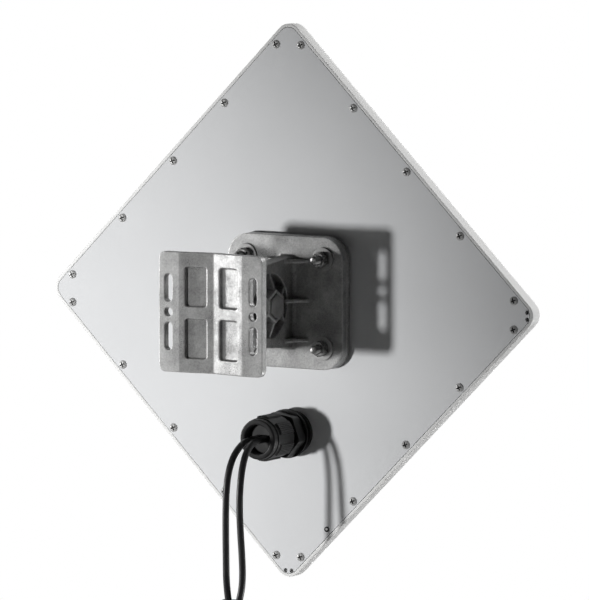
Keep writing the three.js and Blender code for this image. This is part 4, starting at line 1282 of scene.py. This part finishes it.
@dataclass
class Fasteners(SubAssembly):
    """The four studs with their washers and nuts, and the pivot's bolt, washer and nut."""

    thread_pitch: float = 1.25 * MM
    thread_depth: float = 0.5 * MM
    stud_radius: float = 4.0 * MM
    bolt_radius: float = 6.0 * MM
    bolt_head_height: float = 7.5 * MM
    bolt_thread_length: float = 18.0 * MM
    stud_head_height: float = 1.6 * MM
    tip_chamfer: float = 0.9 * MM
    clearance: float = 0.3 * MM
    sides: int = 48

    def build(self) -> None:
        """Builds every fastener of the bracket."""
        for index in range(1, 5):
            self.stud(index)
            self.washer(f"mount_washer_{index}", f"flat_washer_{index}", "Y")
            self.nut(f"mount_nut_{index}", f"hex_nut_{index}", "Y", self.stud_radius)
        self.washer("pivot_washer", "pivot_flat_washer", "X")
        self.nut("pivot_nut", "pivot_hex_nut", "X", self.bolt_radius)
        self.bolt()

    def span(self, node: str, axis: str) -> tuple[list[float], float, float, float]:
        """Where a round node lies.

        Args:
            node: the CAD node.
            axis: the axis of its turn.

        Returns:
            A point on its axis at height zero, its low and high ends, and its largest radius.
        """
        low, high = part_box(node)
        along = "XYZ".index(axis)
        centre = [(a + b) / 2 for a, b in zip(low, high)]
        centre[along] = 0.0
        across = max(high[i] - low[i] for i in range(3) if i != along)
        return centre, low[along], high[along], across / 2

    def thread(self, start: float, end: float) -> RadiusRule:
        """A rule that cuts a screw thread between two heights.

        The radius falls by a triangle wave of the height over the pitch less the angle over a turn.

        Args:
            start: where the thread starts.
            end: where it ends.

        Returns:
            The rule.
        """

        def rule(radius: Array, height: Array, angle: Array) -> Array:
            """The radius with the thread cut into it.

            Args:
                radius: the profile's radii.
                height: heights along the axis.
                angle: angles around it.

            Returns:
                The threaded radii.
            """
            phase = (height / self.thread_pitch - angle / TURN) % 1.0
            wave = 1.0 - np.abs(2.0 * phase - 1.0)
            from_start = np.clip((height - start) / self.thread_pitch, 0, 1)
            to_end = np.clip((end - height) / self.thread_pitch, 0, 1)
            return np.where(radius > 0, radius - self.thread_depth * wave * (from_start * to_end), radius)

        return rule

    def stud(self, index: int) -> None:
        """A press-in stud: its flat head inside the panel, and a threaded end.

        Args:
            index: which of the studs it is.
        """
        node = f"mount_stud_{index}"
        centre, low, high, head = self.span(node, "Y")
        radius = self.stud_radius
        head_top = low + self.stud_head_height
        tip = radius - self.tip_chamfer
        thread = np.arange(head_top + 0.4 * MM, high - self.tip_chamfer, self.thread_pitch / 6)
        profile = np.concatenate(
            [
                [(0.0, low), (head, low), (head, head_top), (radius, head_top)],
                at_radius(radius, thread),
                [(tip + 0.1 * MM, high - 0.15 * MM), (tip - 0.3 * MM, high), (0.0, high)],
            ]
        )
        rule = self.thread(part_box("adapter_plate")[0].y, high)
        stud = turned(f"threaded_stud_{index}", profile, centre, sides=self.sides, rule=rule, sharp=60.0)
        self.deliver(stud, Body.PANEL, Slot.FASTENER, STAINLESS, node)

    def washer(self, node: str, name: str, axis: str) -> None:
        """A flat washer with rolled edges.

        Args:
            node: the CAD node.
            name: the piece's name.
            axis: the axis of its turn.
        """
        centre, low, high, outer = self.span(node, axis)
        bore = (self.stud_radius if axis == "Y" else self.bolt_radius) + self.clearance
        profile = ring_profile(bore, outer, low, high, 0.35 * MM)
        washer = turned(name, profile, centre, axis, 64, closed=True)
        self.deliver(washer, Body.PANEL, Slot.FASTENER, ZINC_PLATE, node)

    def nut(self, node: str, name: str, axis: str, bolt_radius: float) -> None:
        """A hexagon nut whose corners are turned off by a cone at both ends.

        Its outer rows are laid at the full width, which is past any of its radii, and the rule gives
        them their own.

        Args:
            node: the CAD node.
            name: the piece's name.
            axis: the axis of its turn.
            bolt_radius: the radius of the thread in it.
        """
        low_corner, high_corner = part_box(node)
        centre, low, high, _ = self.span(node, axis)
        across = {"Y": high_corner.x - low_corner.x, "X": high_corner.y - low_corner.y}[axis]
        bore = bolt_radius + self.clearance
        rows = ring_profile(bore, across, low, high, 0.12 * MM, 2)
        side = at_radius(across, np.linspace(low, high, 12)[1:-1])
        split = int(np.argmax(rows[:, 1] > (low + high) / 2))
        profile = np.concatenate([rows[:split], side, rows[split:]])
        turn = math.pi / 2 if axis == "Y" else 0.0

        def rule(radius: Array, height: Array, angle: Array) -> Array:
            """The chamfered hexagon outside the bore, by the radius, height and angle of each point."""
            outside = chamfered(across, angle, np.minimum(height - low, high - height), turn)
            return np.where(radius > bore + 0.5 * MM, outside, radius)

        nut = turned(name, profile, centre, axis, 72, rule, 30.0, closed=True)
        self.deliver(nut, Body.PANEL, Slot.FASTENER, STAINLESS, node)

    def bolt(self) -> None:
        """The pivot bolt: a chamfered hexagon head in the bracket's collar, and its shank."""
        centre, low, high, _ = self.span("pivot_bolt", "X")
        head_high = low + self.bolt_head_height
        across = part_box("pivot_bolt")[1].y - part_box("pivot_bolt")[0].y
        radius = self.bolt_radius
        side = at_radius(across, np.linspace(low + 0.1 * MM, head_high - 0.1 * MM, 10))
        shank = np.arange(head_high + 1.0 * MM, high - 1.0 * MM, self.thread_pitch / 6)
        profile = np.concatenate(
            [
                [(0.0, low), (across * 0.3, low)],
                side,
                [(radius, head_high)],
                at_radius(radius, shank),
                [(radius - self.tip_chamfer, high), (0.0, high)],
            ]
        )
        thread = self.thread(high - self.bolt_thread_length, high)

        def rule(reach: Array, height: Array, angle: Array) -> Array:
            """The head's hexagon and the threaded end, by the radius, height and angle of each point."""
            head = chamfered(across, angle, height - low, drop=1.0 * MM)
            return np.where(reach > across * 0.9, head, thread(reach, height, angle))

        bolt = turned("pivot_hex_bolt", profile, centre, "X", 72, rule, 32.0)
        self.deliver(bolt, Body.PANEL, Slot.FASTENER, ZINC_PLATE, "pivot_bolt")


@dataclass
class Bracket(SubAssembly):
    """The castings: the adapter, the panel's cheek and the pole plate with its arm."""

    grain: float = 0.7 * MM
    passes: int = 4

    def build(self) -> None:
        """Builds the castings with soft edges."""
        grain = self.grain
        for node, name, body in (
            ("adapter_plate", "adapter_casting", Body.PANEL),
            ("panel_bracket", "panel_cheek_casting", Body.PANEL),
            ("pole_bracket", "pole_plate_casting", Body.POLE),
        ):
            piece = cast(name, node, grain, self.passes)
            self.deliver(piece, body, Slot.CASTING, RAW_CASTING, node)


@dataclass
class Gland(SubAssembly):
    """The cable gland: seal, body, nut, clamp ring, locknut and insert, along Y."""

    pads: int = 6
    ribs_per_pad: int = 7
    pad_share: float = 0.6
    pad_height: float = 1.7 * MM
    rib_depth: float = 0.45 * MM
    seal_bore: float = 16.3 * MM
    base_hexagon: float = 41.0 * MM
    body_hexagon: float = 39.0 * MM
    centre: tuple[float, float, float] = field(init=False)
    face: float = field(init=False)

    def __post_init__(self) -> None:
        """Finds the gland's axis and the plate's face on their CAD nodes."""
        x, _, z = box_middle("gland_seal_ring")
        self.centre = (x, 0.0, z)
        self.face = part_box("back_plate")[1].y

    def build(self) -> None:
        """Builds every piece of the gland."""
        self.seal()
        self.body()
        self.nut()
        insert = edged("gland_rubber_insert", "gland_insert", 0.4 * MM)
        self.deliver(insert, Body.PANEL, Slot.INSERT, GREY_RUBBER, "gland_insert")
        self.dress_node("gland_clamp_ring", BLACK_NYLON)
        self.dress_node("gland_locknut", BLACK_NYLON)

    def seal(self) -> None:
        """The rubber ring between the gland and the plate."""
        low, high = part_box("gland_seal_ring")
        profile = ring_profile(self.seal_bore, (high.x - low.x) / 2, low.y, high.y, 0.8 * MM, 4)
        ring = turned("gland_seal", profile, self.centre, sides=72, closed=True)
        self.deliver(ring, Body.PANEL, Slot.RUBBER, BLACK_RUBBER, "gland_seal_ring")

    def body(self) -> None:
        """The body: thread, base hexagon, round collar, body hexagon and threaded neck, bored through."""
        low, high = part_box("gland_body")
        base, collar, hexed, neck = (self.face + n * MM for n in (4.05, 12.05, 15.05, 28.05))
        bore, thread, collar_radius, neck_radius = (r * MM for r in (13.3, 16.0, 22.4, 16.4))
        wide, narrow = self.base_hexagon, self.body_hexagon
        outline = softened(
            [
                (bore, low.y), (thread, low.y), (thread, base), (wide, base), (wide, collar),
                (collar_radius, collar), (collar_radius, hexed), (narrow, hexed), (narrow, neck),
                (neck_radius, neck), (neck_radius, high.y), (bore, high.y),
            ],
            0.35 * MM, 3, closed=True,
        )

        def rule(radius: Array, height: Array, angle: Array) -> Array:
            """Both hexagons, and the rest round.

            Args:
                radius: the profile's radii.
                height: heights along the axis.
                angle: angles around it.

            Returns:
                The shaped radii.
            """
            shaped = radius
            for across, start, end, turn in ((wide, base, collar, 0.2), (narrow, hexed, neck, 0.35)):
                left = np.minimum(height - start, end - height)
                flats = chamfered(across, angle, left, turn + math.pi / 6, corner_share=1.12, slope=1.4)
                shaped = np.where(radius > across * 0.9, flats, shaped)
            return shaped

        rows = self.divided(outline)
        body = turned("gland_body_shell", rows, self.centre, sides=144, rule=rule, sharp=28.0, closed=True)
        self.deliver(body, Body.PANEL, Slot.NYLON, BLACK_NYLON, "gland_body")

    @staticmethod
    def divided(outline: Array, longest: float = 2.0 * MM, parts: int = 8) -> Array:
        """An outline with more points on its long stretches along the axis.

        The k-th new point lies k parts of the way from the one before it to the stretch's end, so they
        crowd towards that end: its share of the stretch is 1 - (1 - 1/n)(1 - 2/n)...(1 - k/n).

        Args:
            outline: rows of radius and height.
            longest: the longest stretch that is left alone.
            parts: n, one more than the number of new points.

        Returns:
            The rows with the new ones among them.
        """
        share = 1.0 - np.cumprod(1.0 - np.arange(1, parts) / parts)
        rows = [outline[:1]]
        for start, end in zip(outline[:-1], outline[1:]):
            if abs(end[0] - start[0]) < 0.001 * MM and np.linalg.norm(end - start) > longest:
                rows.append(start + (end - start) * share[:, None])
            rows.append(end[None])
        return np.concatenate(rows)

    def nut(self) -> None:
        """The gland nut: a drum with ribbed pads around it and a rounded mouth.

        Over the drum, the radius grows by the pad's height on each pad and falls by the ribs' wave, both
        fading out towards the drum's ends.
        """
        low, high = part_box("gland_nut")
        start, end = low.y, high.y
        drum_end = end - 6.0 * MM
        bore, drum, mouth, mouth_bore = (r * MM for r in (17.1, 19.5, 18.5, 13.5))
        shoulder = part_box("gland_insert")[1].y + 0.3 * MM
        drum_rows = at_radius(drum, np.linspace(start + 0.9 * MM, drum_end - 0.9 * MM, 26))
        outline = np.concatenate(
            [
                [(bore, start), (drum - 0.8 * MM, start), (drum - 0.2 * MM, start + 0.2 * MM)],
                drum_rows,
                softened(
                    [
                        (drum, drum_end - 0.6 * MM), (mouth + 0.1 * MM, drum_end + 0.3 * MM),
                        (mouth, end), (mouth_bore, end), (mouth_bore, shoulder), (bore, shoulder),
                    ],
                    1.3 * MM, 5,
                ),
            ]
        )
        step = TURN / self.pads

        def rule(radius: Array, height: Array, angle: Array) -> Array:
            """Pads and ribs on the drum.

            Args:
                radius: the profile's radii.
                height: heights along the axis.
                angle: angles around it.

            Returns:
                The radii with the pads and ribs on.
            """
            off_pad = np.abs((angle + step / 2) % step - step / 2) / (step / 2)
            on_pad = np.clip((self.pad_share - off_pad) / 0.07, 0, 1)
            wave = 0.5 - 0.5 * np.cos(off_pad / self.pad_share * math.pi * self.ribs_per_pad)
            from_start = np.clip((height - start - 0.9 * MM) / (0.8 * MM), 0, 1)
            to_end = np.clip((drum_end - 2.6 * MM - height) / (1.2 * MM), 0, 1)
            grown = on_pad * from_start * to_end * (self.pad_height - self.rib_depth * wave)
            return np.where(radius > drum - 0.01 * MM, radius + grown, radius)

        nut = turned("gland_nut_cap", outline, self.centre, sides=360, rule=rule, sharp=35.0, closed=True)
        self.deliver(nut, Body.GLAND_NUT, Slot.NYLON, BLACK_NYLON, "gland_nut")


@dataclass
class Cable(SubAssembly):
    """One data cable: its run from the gland, its coil and the plug on its end."""

    key: str
    way: int
    route_mm: Sequence[Point]
    radius: float = 3.1 * MM
    turns: int = 4
    pitch: float = 6.4 * MM
    coil_radius: float = 31.5 * MM
    coil_height: float = -303.5 * MM
    coil_ease: float = 0.12

    def path(self) -> Array:
        """The cable's whole line: the listed run, the coil's turns and the drop to the plug.

        The coil's point at angle a is a circle about X, which moves along X by the pitch each turn.

        Returns:
            The line's points, in metres.
        """
        run = smooth_path(np.array(self.route_mm) * MM, 1.6 * MM)
        strand_x, strand_y, start_z = run[-1]
        drop = np.linspace(start_z, self.coil_height, 12, endpoint=False)[1:]
        lead_in = self.upright(strand_x, strand_y, drop)
        angle = np.linspace(0.0, TURN * self.turns, 96 * self.turns + 1)
        coil = np.stack(
            [
                strand_x + self.way * self.pitch * self.eased(angle / TURN),
                strand_y - self.coil_radius * (1.0 - np.cos(angle)),
                self.coil_height - self.coil_radius * np.sin(angle),
            ],
            axis=-1,
        )
        plug_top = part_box(f"plug_{self.key}")[1].z
        fall = np.linspace(self.coil_height, plug_top - 2.0 * MM, 12)[1:]
        lead_out = self.upright(coil[-1, 0], strand_y, fall)
        return np.concatenate([run, lead_in, coil, lead_out])

    @staticmethod
    def upright(x: float, y: float, heights: Array) -> Array:
        """The points of an upright line, one for each height."""
        return np.stack([np.full(len(heights), x), np.full(len(heights), y), heights], axis=-1)

    def eased(self, turned_by: Array) -> Array:
        """The way along the coil, which starts and ends without a kink.

        Over the first and the last share of the turns it is a parabola, and it is straight in between.

        Args:
            turned_by: numbers of turns from the coil's start.

        Returns:
            The way along the coil for each of them, in pitches.
        """
        total = float(self.turns)
        ease = self.coil_ease
        t = np.clip(turned_by / total, 0.0, 1.0)
        ramp = np.where(t < ease, t**2 / (2 * ease), t - ease / 2)
        end = np.where(t > 1 - ease, (t - 1 + ease) ** 2 / (2 * ease), 0.0)
        return total * (ramp - end) / (1 - ease)

    def build(self) -> None:
        path = self.path()
        tube = swept(f"data_cable_{self.key}", path, circle(self.radius, 20))
        self.deliver(tube, Body.PANEL, Slot.JACKET, JACKET, f"cable_{self.key}", f"coil_{self.key}")
        pieces = Plug(self.key, self.radius).build()


@dataclass
class Plug(SubAssembly):
    """The modular plug on a cable's end: a ribbed boot, a clear housing and its contacts."""

    key: str
    cable_radius: float
    boot_radius: float = 3.5 * MM
    boot_rib_height: float = 0.35 * MM
    boot_ribs: float = 5.5
    shell_length: float = 14.0 * MM
    shell_half_depth: float = 4.0 * MM
    contact_count: int = 8
    contact_pitch: float = 1.02 * MM
    contact_half_width: float = 0.18 * MM

    def build(self) -> list[Object]:
        """Builds the plug.

        Returns:
            Its pieces.
        """
        low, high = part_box(f"plug_{self.key}")
        x, y, _ = box_middle(f"plug_{self.key}")
        boot = self.boot(x, y, high.z)
        shell = self.shell(x, y)
        return [boot, shell, *self.contacts(x, y - self.shell_half_depth, low.z)]

    def boot(self, x: float, y: float, top: float) -> Object:
        """The boot, turned about the cable: its radius grows a little on the way down, and its ribs are a
        sine that is cut off below.

        Args:
            x: the cable's place across the coil.
            y: the cable's place from the panel.
            top: the boot's upper end.

        Returns:
            The boot.
        """
        split = top - self.shell_length
        rows = np.linspace(0.0, 1.0, 60)
        ribs = np.clip(np.sin(rows * TURN * self.boot_ribs), -0.2, 1.0) * np.clip((rows - 0.1) / 0.1, 0, 1)
        sleeve = self.boot_radius + self.boot_rib_height * (rows + ribs)
        line = np.concatenate(
            [
                [(self.cable_radius, top)],
                np.stack([sleeve, top - rows * (top - split + 1.0 * MM)], axis=-1),
                [(0.0, split - 1.0 * MM), (0.0, split + 2.0 * MM), (self.cable_radius, split + 2.0 * MM)],
            ]
        )
        boot = turned(f"plug_boot_{self.key}", line, (x, y, 0.0), "Z", 40, closed=True)
        return self.deliver(boot, Body.PANEL, Slot.JACKET, JACKET)

    def shell(self, x: float, y: float) -> Object:
        """The clear housing below the boot.

        Args:
            x: the cable's place across the coil.
            y: the cable's place from the panel.

        Returns:
            The housing.
        """
        node = f"plug_{self.key}"
        low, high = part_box(node)
        half_x, half_y = (high.x - low.x) / 2, self.shell_half_depth
        lower = (x - half_x, y - half_y, low.z)
        upper = (x + half_x, y + half_y - 0.2 * MM, high.z - self.shell_length - 0.9 * MM)
        shell = rounded_box(f"plug_shell_{self.key}", lower, upper, 0.7 * MM)
        return self.deliver(shell, Body.PANEL, Slot.PLUG, CLEAR_PLUG, node)

    def contacts(self, x: float, face: float, bottom: float) -> list[Object]:
        """The contacts, side by side in the housing's face.

        Args:
            x: the middle of the row.
            face: the housing's face that they lie in.
            bottom: the housing's lower end.

        Returns:
            The contacts.
        """
        half = self.contact_half_width
        made = []
        for index in range(self.contact_count):
            middle = x + (index - (self.contact_count - 1) / 2) * self.contact_pitch
            lower = (middle - half, face - half, bottom + 0.8 * MM)
            upper = (middle + half, face + 0.6 * MM, bottom + 7.0 * MM)
            contact = rounded_box(f"plug_contact_{self.key}_{index + 1}", lower, upper, 0.08 * MM, 1)
            made.append(self.deliver(contact, Body.PANEL, Slot.TINPLATE, CONTACT_GOLD))
        return made


@dataclass
class CoilTie(SubAssembly):
    """The cable tie around both coils: a strap and its head."""

    strap_width: float = 4.8 * MM
    strap_thickness: float = 1.2 * MM
    strap_corner: float = 3.4 * MM
    head_length: float = 3.0 * MM
    head_half_width: float = 3.2 * MM

    def build(self) -> None:
        """Builds the strap and its head.

        The strap is a flat section carried round a rounded rectangle. The point of section (a, b) at a
        path point P is P + a N + b Y, with N across the path and outwards and Y along the tie's width.
        """
        low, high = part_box("cable_tie")
        half_thick, half_wide = self.strap_thickness / 2, self.strap_width / 2
        left, right = low.x + self.head_length + half_thick, high.x - half_thick
        bottom, top = low.z + half_thick, high.z - half_thick
        y = (low.y + high.y) / 2
        loop = rounded_rectangle(right - left, top - bottom, self.strap_corner, 10)
        loop += ((left + right) / 2, (bottom + top) / 2)
        path = np.stack([loop[:, 0], np.full(len(loop), y), loop[:, 1]], axis=-1)
        across = np.array([0.0, 1.0, 0.0])
        along = np.roll(path, -1, axis=0) - np.roll(path, 1, axis=0)
        along /= np.linalg.norm(along, axis=1, keepdims=True)
        outwards = np.cross(along, across)
        section = ring_profile(-half_thick, half_thick, -half_wide, half_wide, 0.3 * MM, 2)
        rings = (
            path[:, None]
            + section[None, :, 0, None] * outwards[:, None]
            + section[None, :, 1, None] * across
        )
        strap = make_object("coil_tie_strap", rings, grid_faces(len(path), len(section), True, True))
        self.deliver(strap, Body.PANEL, Slot.NYLON, BLACK_NYLON, "cable_tie")
        lower = (low.x, y - self.head_half_width, low.z + 1.4 * MM)
        upper = (left + 0.2 * MM, y + self.head_half_width, high.z - 1.0 * MM)
        head = rounded_box("coil_tie_head", lower, upper, 0.6 * MM)
        self.deliver(head, Body.PANEL, Slot.NYLON, BLACK_NYLON)


# The points that each cable passes through, in millimetres, from inside the gland to above its coil.
CABLE_A_ROUTE = [
    (2.4, -101, -122.5),
    (2.4, -88, -122.5),
    (2.4, -73, -122.6),
    (2.2, -61, -124.2),
    (1.9, -49.5, -129.4),
    (1.5, -39.5, -138),
    (1.1, -32.5, -150),
    (0.8, -28.8, -164.4),
    (0.7, -27.6, -181.8),
    (0.8, -27.6, -202),
    (0.8, -28, -225),
    (0.4, -28, -245),
    (-0.8, -28, -258),
    (-2.6, -28, -269),
    (-3.8, -28, -277),
    (-4, -28, -283),
]
CABLE_B_ROUTE = [
    (-5.6, -101, -122.5),
    (-5.6, -88, -122.5),
    (-5.7, -73, -122.8),
    (-6.4, -61, -125),
    (-7.6, -50.5, -130.6),
    (-9.3, -42, -139.2),
    (-10.8, -35.6, -151),
    (-11.7, -31.8, -165.4),
    (-12.4, -30.2, -181.8),
    (-13.6, -29.8, -202),
    (-15.2, -29.4, -222),
    (-16.2, -28.8, -240),
    (-15.6, -28.2, -253),
    (-13.2, -28, -264),
    (-11.2, -28, -274),
    (-10.8, -28, -283),
]


# ---------------------------------------------------------------- stage


@dataclass(frozen=True)
class SoftLamp:
    """A square lamp that faces the panel's middle.

    Args:
        name: its name.
        offset: where it hangs from the panel's middle, in metres.
        size: its side, in metres.
        power: its power, in watts.
        gloss_only: whether it shows in glossy reflections alone.
    """

    name: str
    offset: Point
    size: float
    power: float
    gloss_only: bool = False


SOFT_LAMPS = (
    SoftLamp("sheen", (1.15, 0.7, -0.03), 0.5, 15.0, gloss_only=True),
    SoftLamp("upper_rim", (-1.0, -0.7, 1.0), 0.35, 20.0),
    SoftLamp("lower_rim", (-0.9, -0.65, -0.75), 0.3, 15.0),
    SoftLamp("front_fill", (0.4, -1.3, 0.3), 0.8, 5.0),
)


@dataclass
class Stage:
    """The camera, the pale floor, the surroundings and the lights."""

    axes: PanelAxes
    azimuth: float = math.radians(30.894)
    elevation: float = math.radians(5.916)
    distance: float = 5.607
    lens: float = 364.53
    aim_right: float = 5.48 * MM
    aim_up: float = 1.38 * MM
    floor_height: float = -0.75
    floor_half: float = 30.0
    ambient: float = 0.018
    key_offset: Point = (0.93, 2.84, -0.26)
    key_target: Point = (0.39, 0.0, -0.2)
    key_power: float = 418.0
    key_cone: float = math.radians(31.0)
    key_radius: float = 0.1

    def build_camera(self) -> None:
        """Stands the camera behind the panel, off to its -X side and a little above."""
        sin_a, cos_a = math.sin(self.azimuth), math.cos(self.azimuth)
        sin_e, cos_e = math.sin(self.elevation), math.cos(self.elevation)
        back = Vector((-sin_a * cos_e, cos_a * cos_e, sin_e))
        right = Vector((-cos_a, -sin_a, 0.0))
        up = Vector((sin_a * sin_e, -cos_a * sin_e, cos_e))
        target = self.axes.centre + right * self.aim_right + up * self.aim_up
        data = bpy.data.cameras.new("view_camera")
        data.sensor_fit = "VERTICAL"
        data.sensor_height = 36.0
        data.lens = self.lens
        data.clip_end = 100.0
        camera = bpy.data.objects.new("view_camera", data)
        camera.location = self.axes.centre + back * self.distance
        camera.rotation_euler = (target - camera.location).to_track_quat("-Z", "Y").to_euler()
        bpy.context.scene.collection.objects.link(camera)
        bpy.context.scene.camera = camera

    def build_surroundings(self) -> None:
        """Builds the floor and the pale world, both white to the eye and dimmer as light."""
        s, z = self.floor_half, self.floor_height
        corners = np.array([(-s, -s, z), (s, -s, z), (s, s, z), (-s, s, z)])
        floor = make_object("pale_floor", corners, np.array([[0, 1, 2, 3]]))
        material = bpy.data.materials.new("pale_floor")
        material.use_nodes = True
        material.node_tree.nodes.clear()
        w = Wiring(material.node_tree)
        seen = w.add("LightPath").outputs["Is Camera Ray"]
        glow = w.add("Emission", {"Color": colour(1.0), "Strength": 1.0})
        paint = w.add("BsdfDiffuse", {"Color": colour(0.8)})
        mixed = w.add("MixShader", {0: seen, 1: paint.outputs[0], 2: glow.outputs[0]})
        w.add("OutputMaterial", {"Surface": mixed.outputs[0]})
        floor.data.materials.append(material)
        world = bpy.data.worlds.new("pale_world")
        world.use_nodes = True
        world.node_tree.nodes.clear()
        w = Wiring(world.node_tree)
        seen = w.add("LightPath").outputs["Is Camera Ray"]
        strength = w.remap(seen, 0.0, 1.0, self.ambient, 1.0)
        sky = w.add("Background", {"Color": colour(1.0), "Strength": strength})
        w.add("OutputWorld", {"Surface": sky.outputs[0]})
        bpy.context.scene.world = world

    def hang(self, name: str, data: bpy.types.Light, offset: Point, target: Point) -> Object:
        """Hangs a lamp so that it faces a point.

        Args:
            name: the lamp's name.
            data: the lamp.
            offset: where it hangs, from the panel's middle.
            target: the point that it faces, from the panel's middle.

        Returns:
            The lamp's object.
        """
        lamp = bpy.data.objects.new(name, data)
        lamp.location = self.axes.centre + Vector(offset)
        aim = self.axes.centre + Vector(target)
        lamp.rotation_euler = (aim - lamp.location).to_track_quat("-Z", "Y").to_euler()
        bpy.context.scene.collection.objects.link(lamp)
        return lamp

    def build_lights(self) -> None:
        """A far key with a soft-edged cone, a sheen for the castings, and three weak lamps in front."""
        key = bpy.data.lights.new("key", "SPOT")
        key.energy = self.key_power
        key.spot_size = self.key_cone
        key.spot_blend = 1.0
        key.shadow_soft_size = self.key_radius
        self.hang("key", key, self.key_offset, self.key_target).visible_glossy = False
        for lamp in SOFT_LAMPS:
            data = bpy.data.lights.new(lamp.name, "AREA")
            data.shape = "SQUARE"
            data.size = lamp.size
            data.energy = lamp.power
            hung = self.hang(lamp.name, data, lamp.offset, (0.0, 0.0, 0.0))
            hung.visible_diffuse = not lamp.gloss_only
        bpy.context.scene.view_settings.view_transform = "Standard"


def main() -> None:
    """Builds the stage and every sub-assembly."""
    logging.basicConfig(level=logging.INFO, format="%(name)s %(message)s")
    axes = PanelAxes()
    stage = Stage(axes)
    stage.build_camera()
    Cable("a", 1, CABLE_A_ROUTE).build()
    Cable("b", -1, CABLE_B_ROUTE).build()
    CoilTie().build()
    Housing(axes).build()
    CoverScrews(axes).build()
    Vent(axes).build()
    Bracket().build()
    Fasteners().build()
    Gland().build()
    stage.build_surroundings()
    stage.build_lights()


if __name__ == "__main__":
    main()
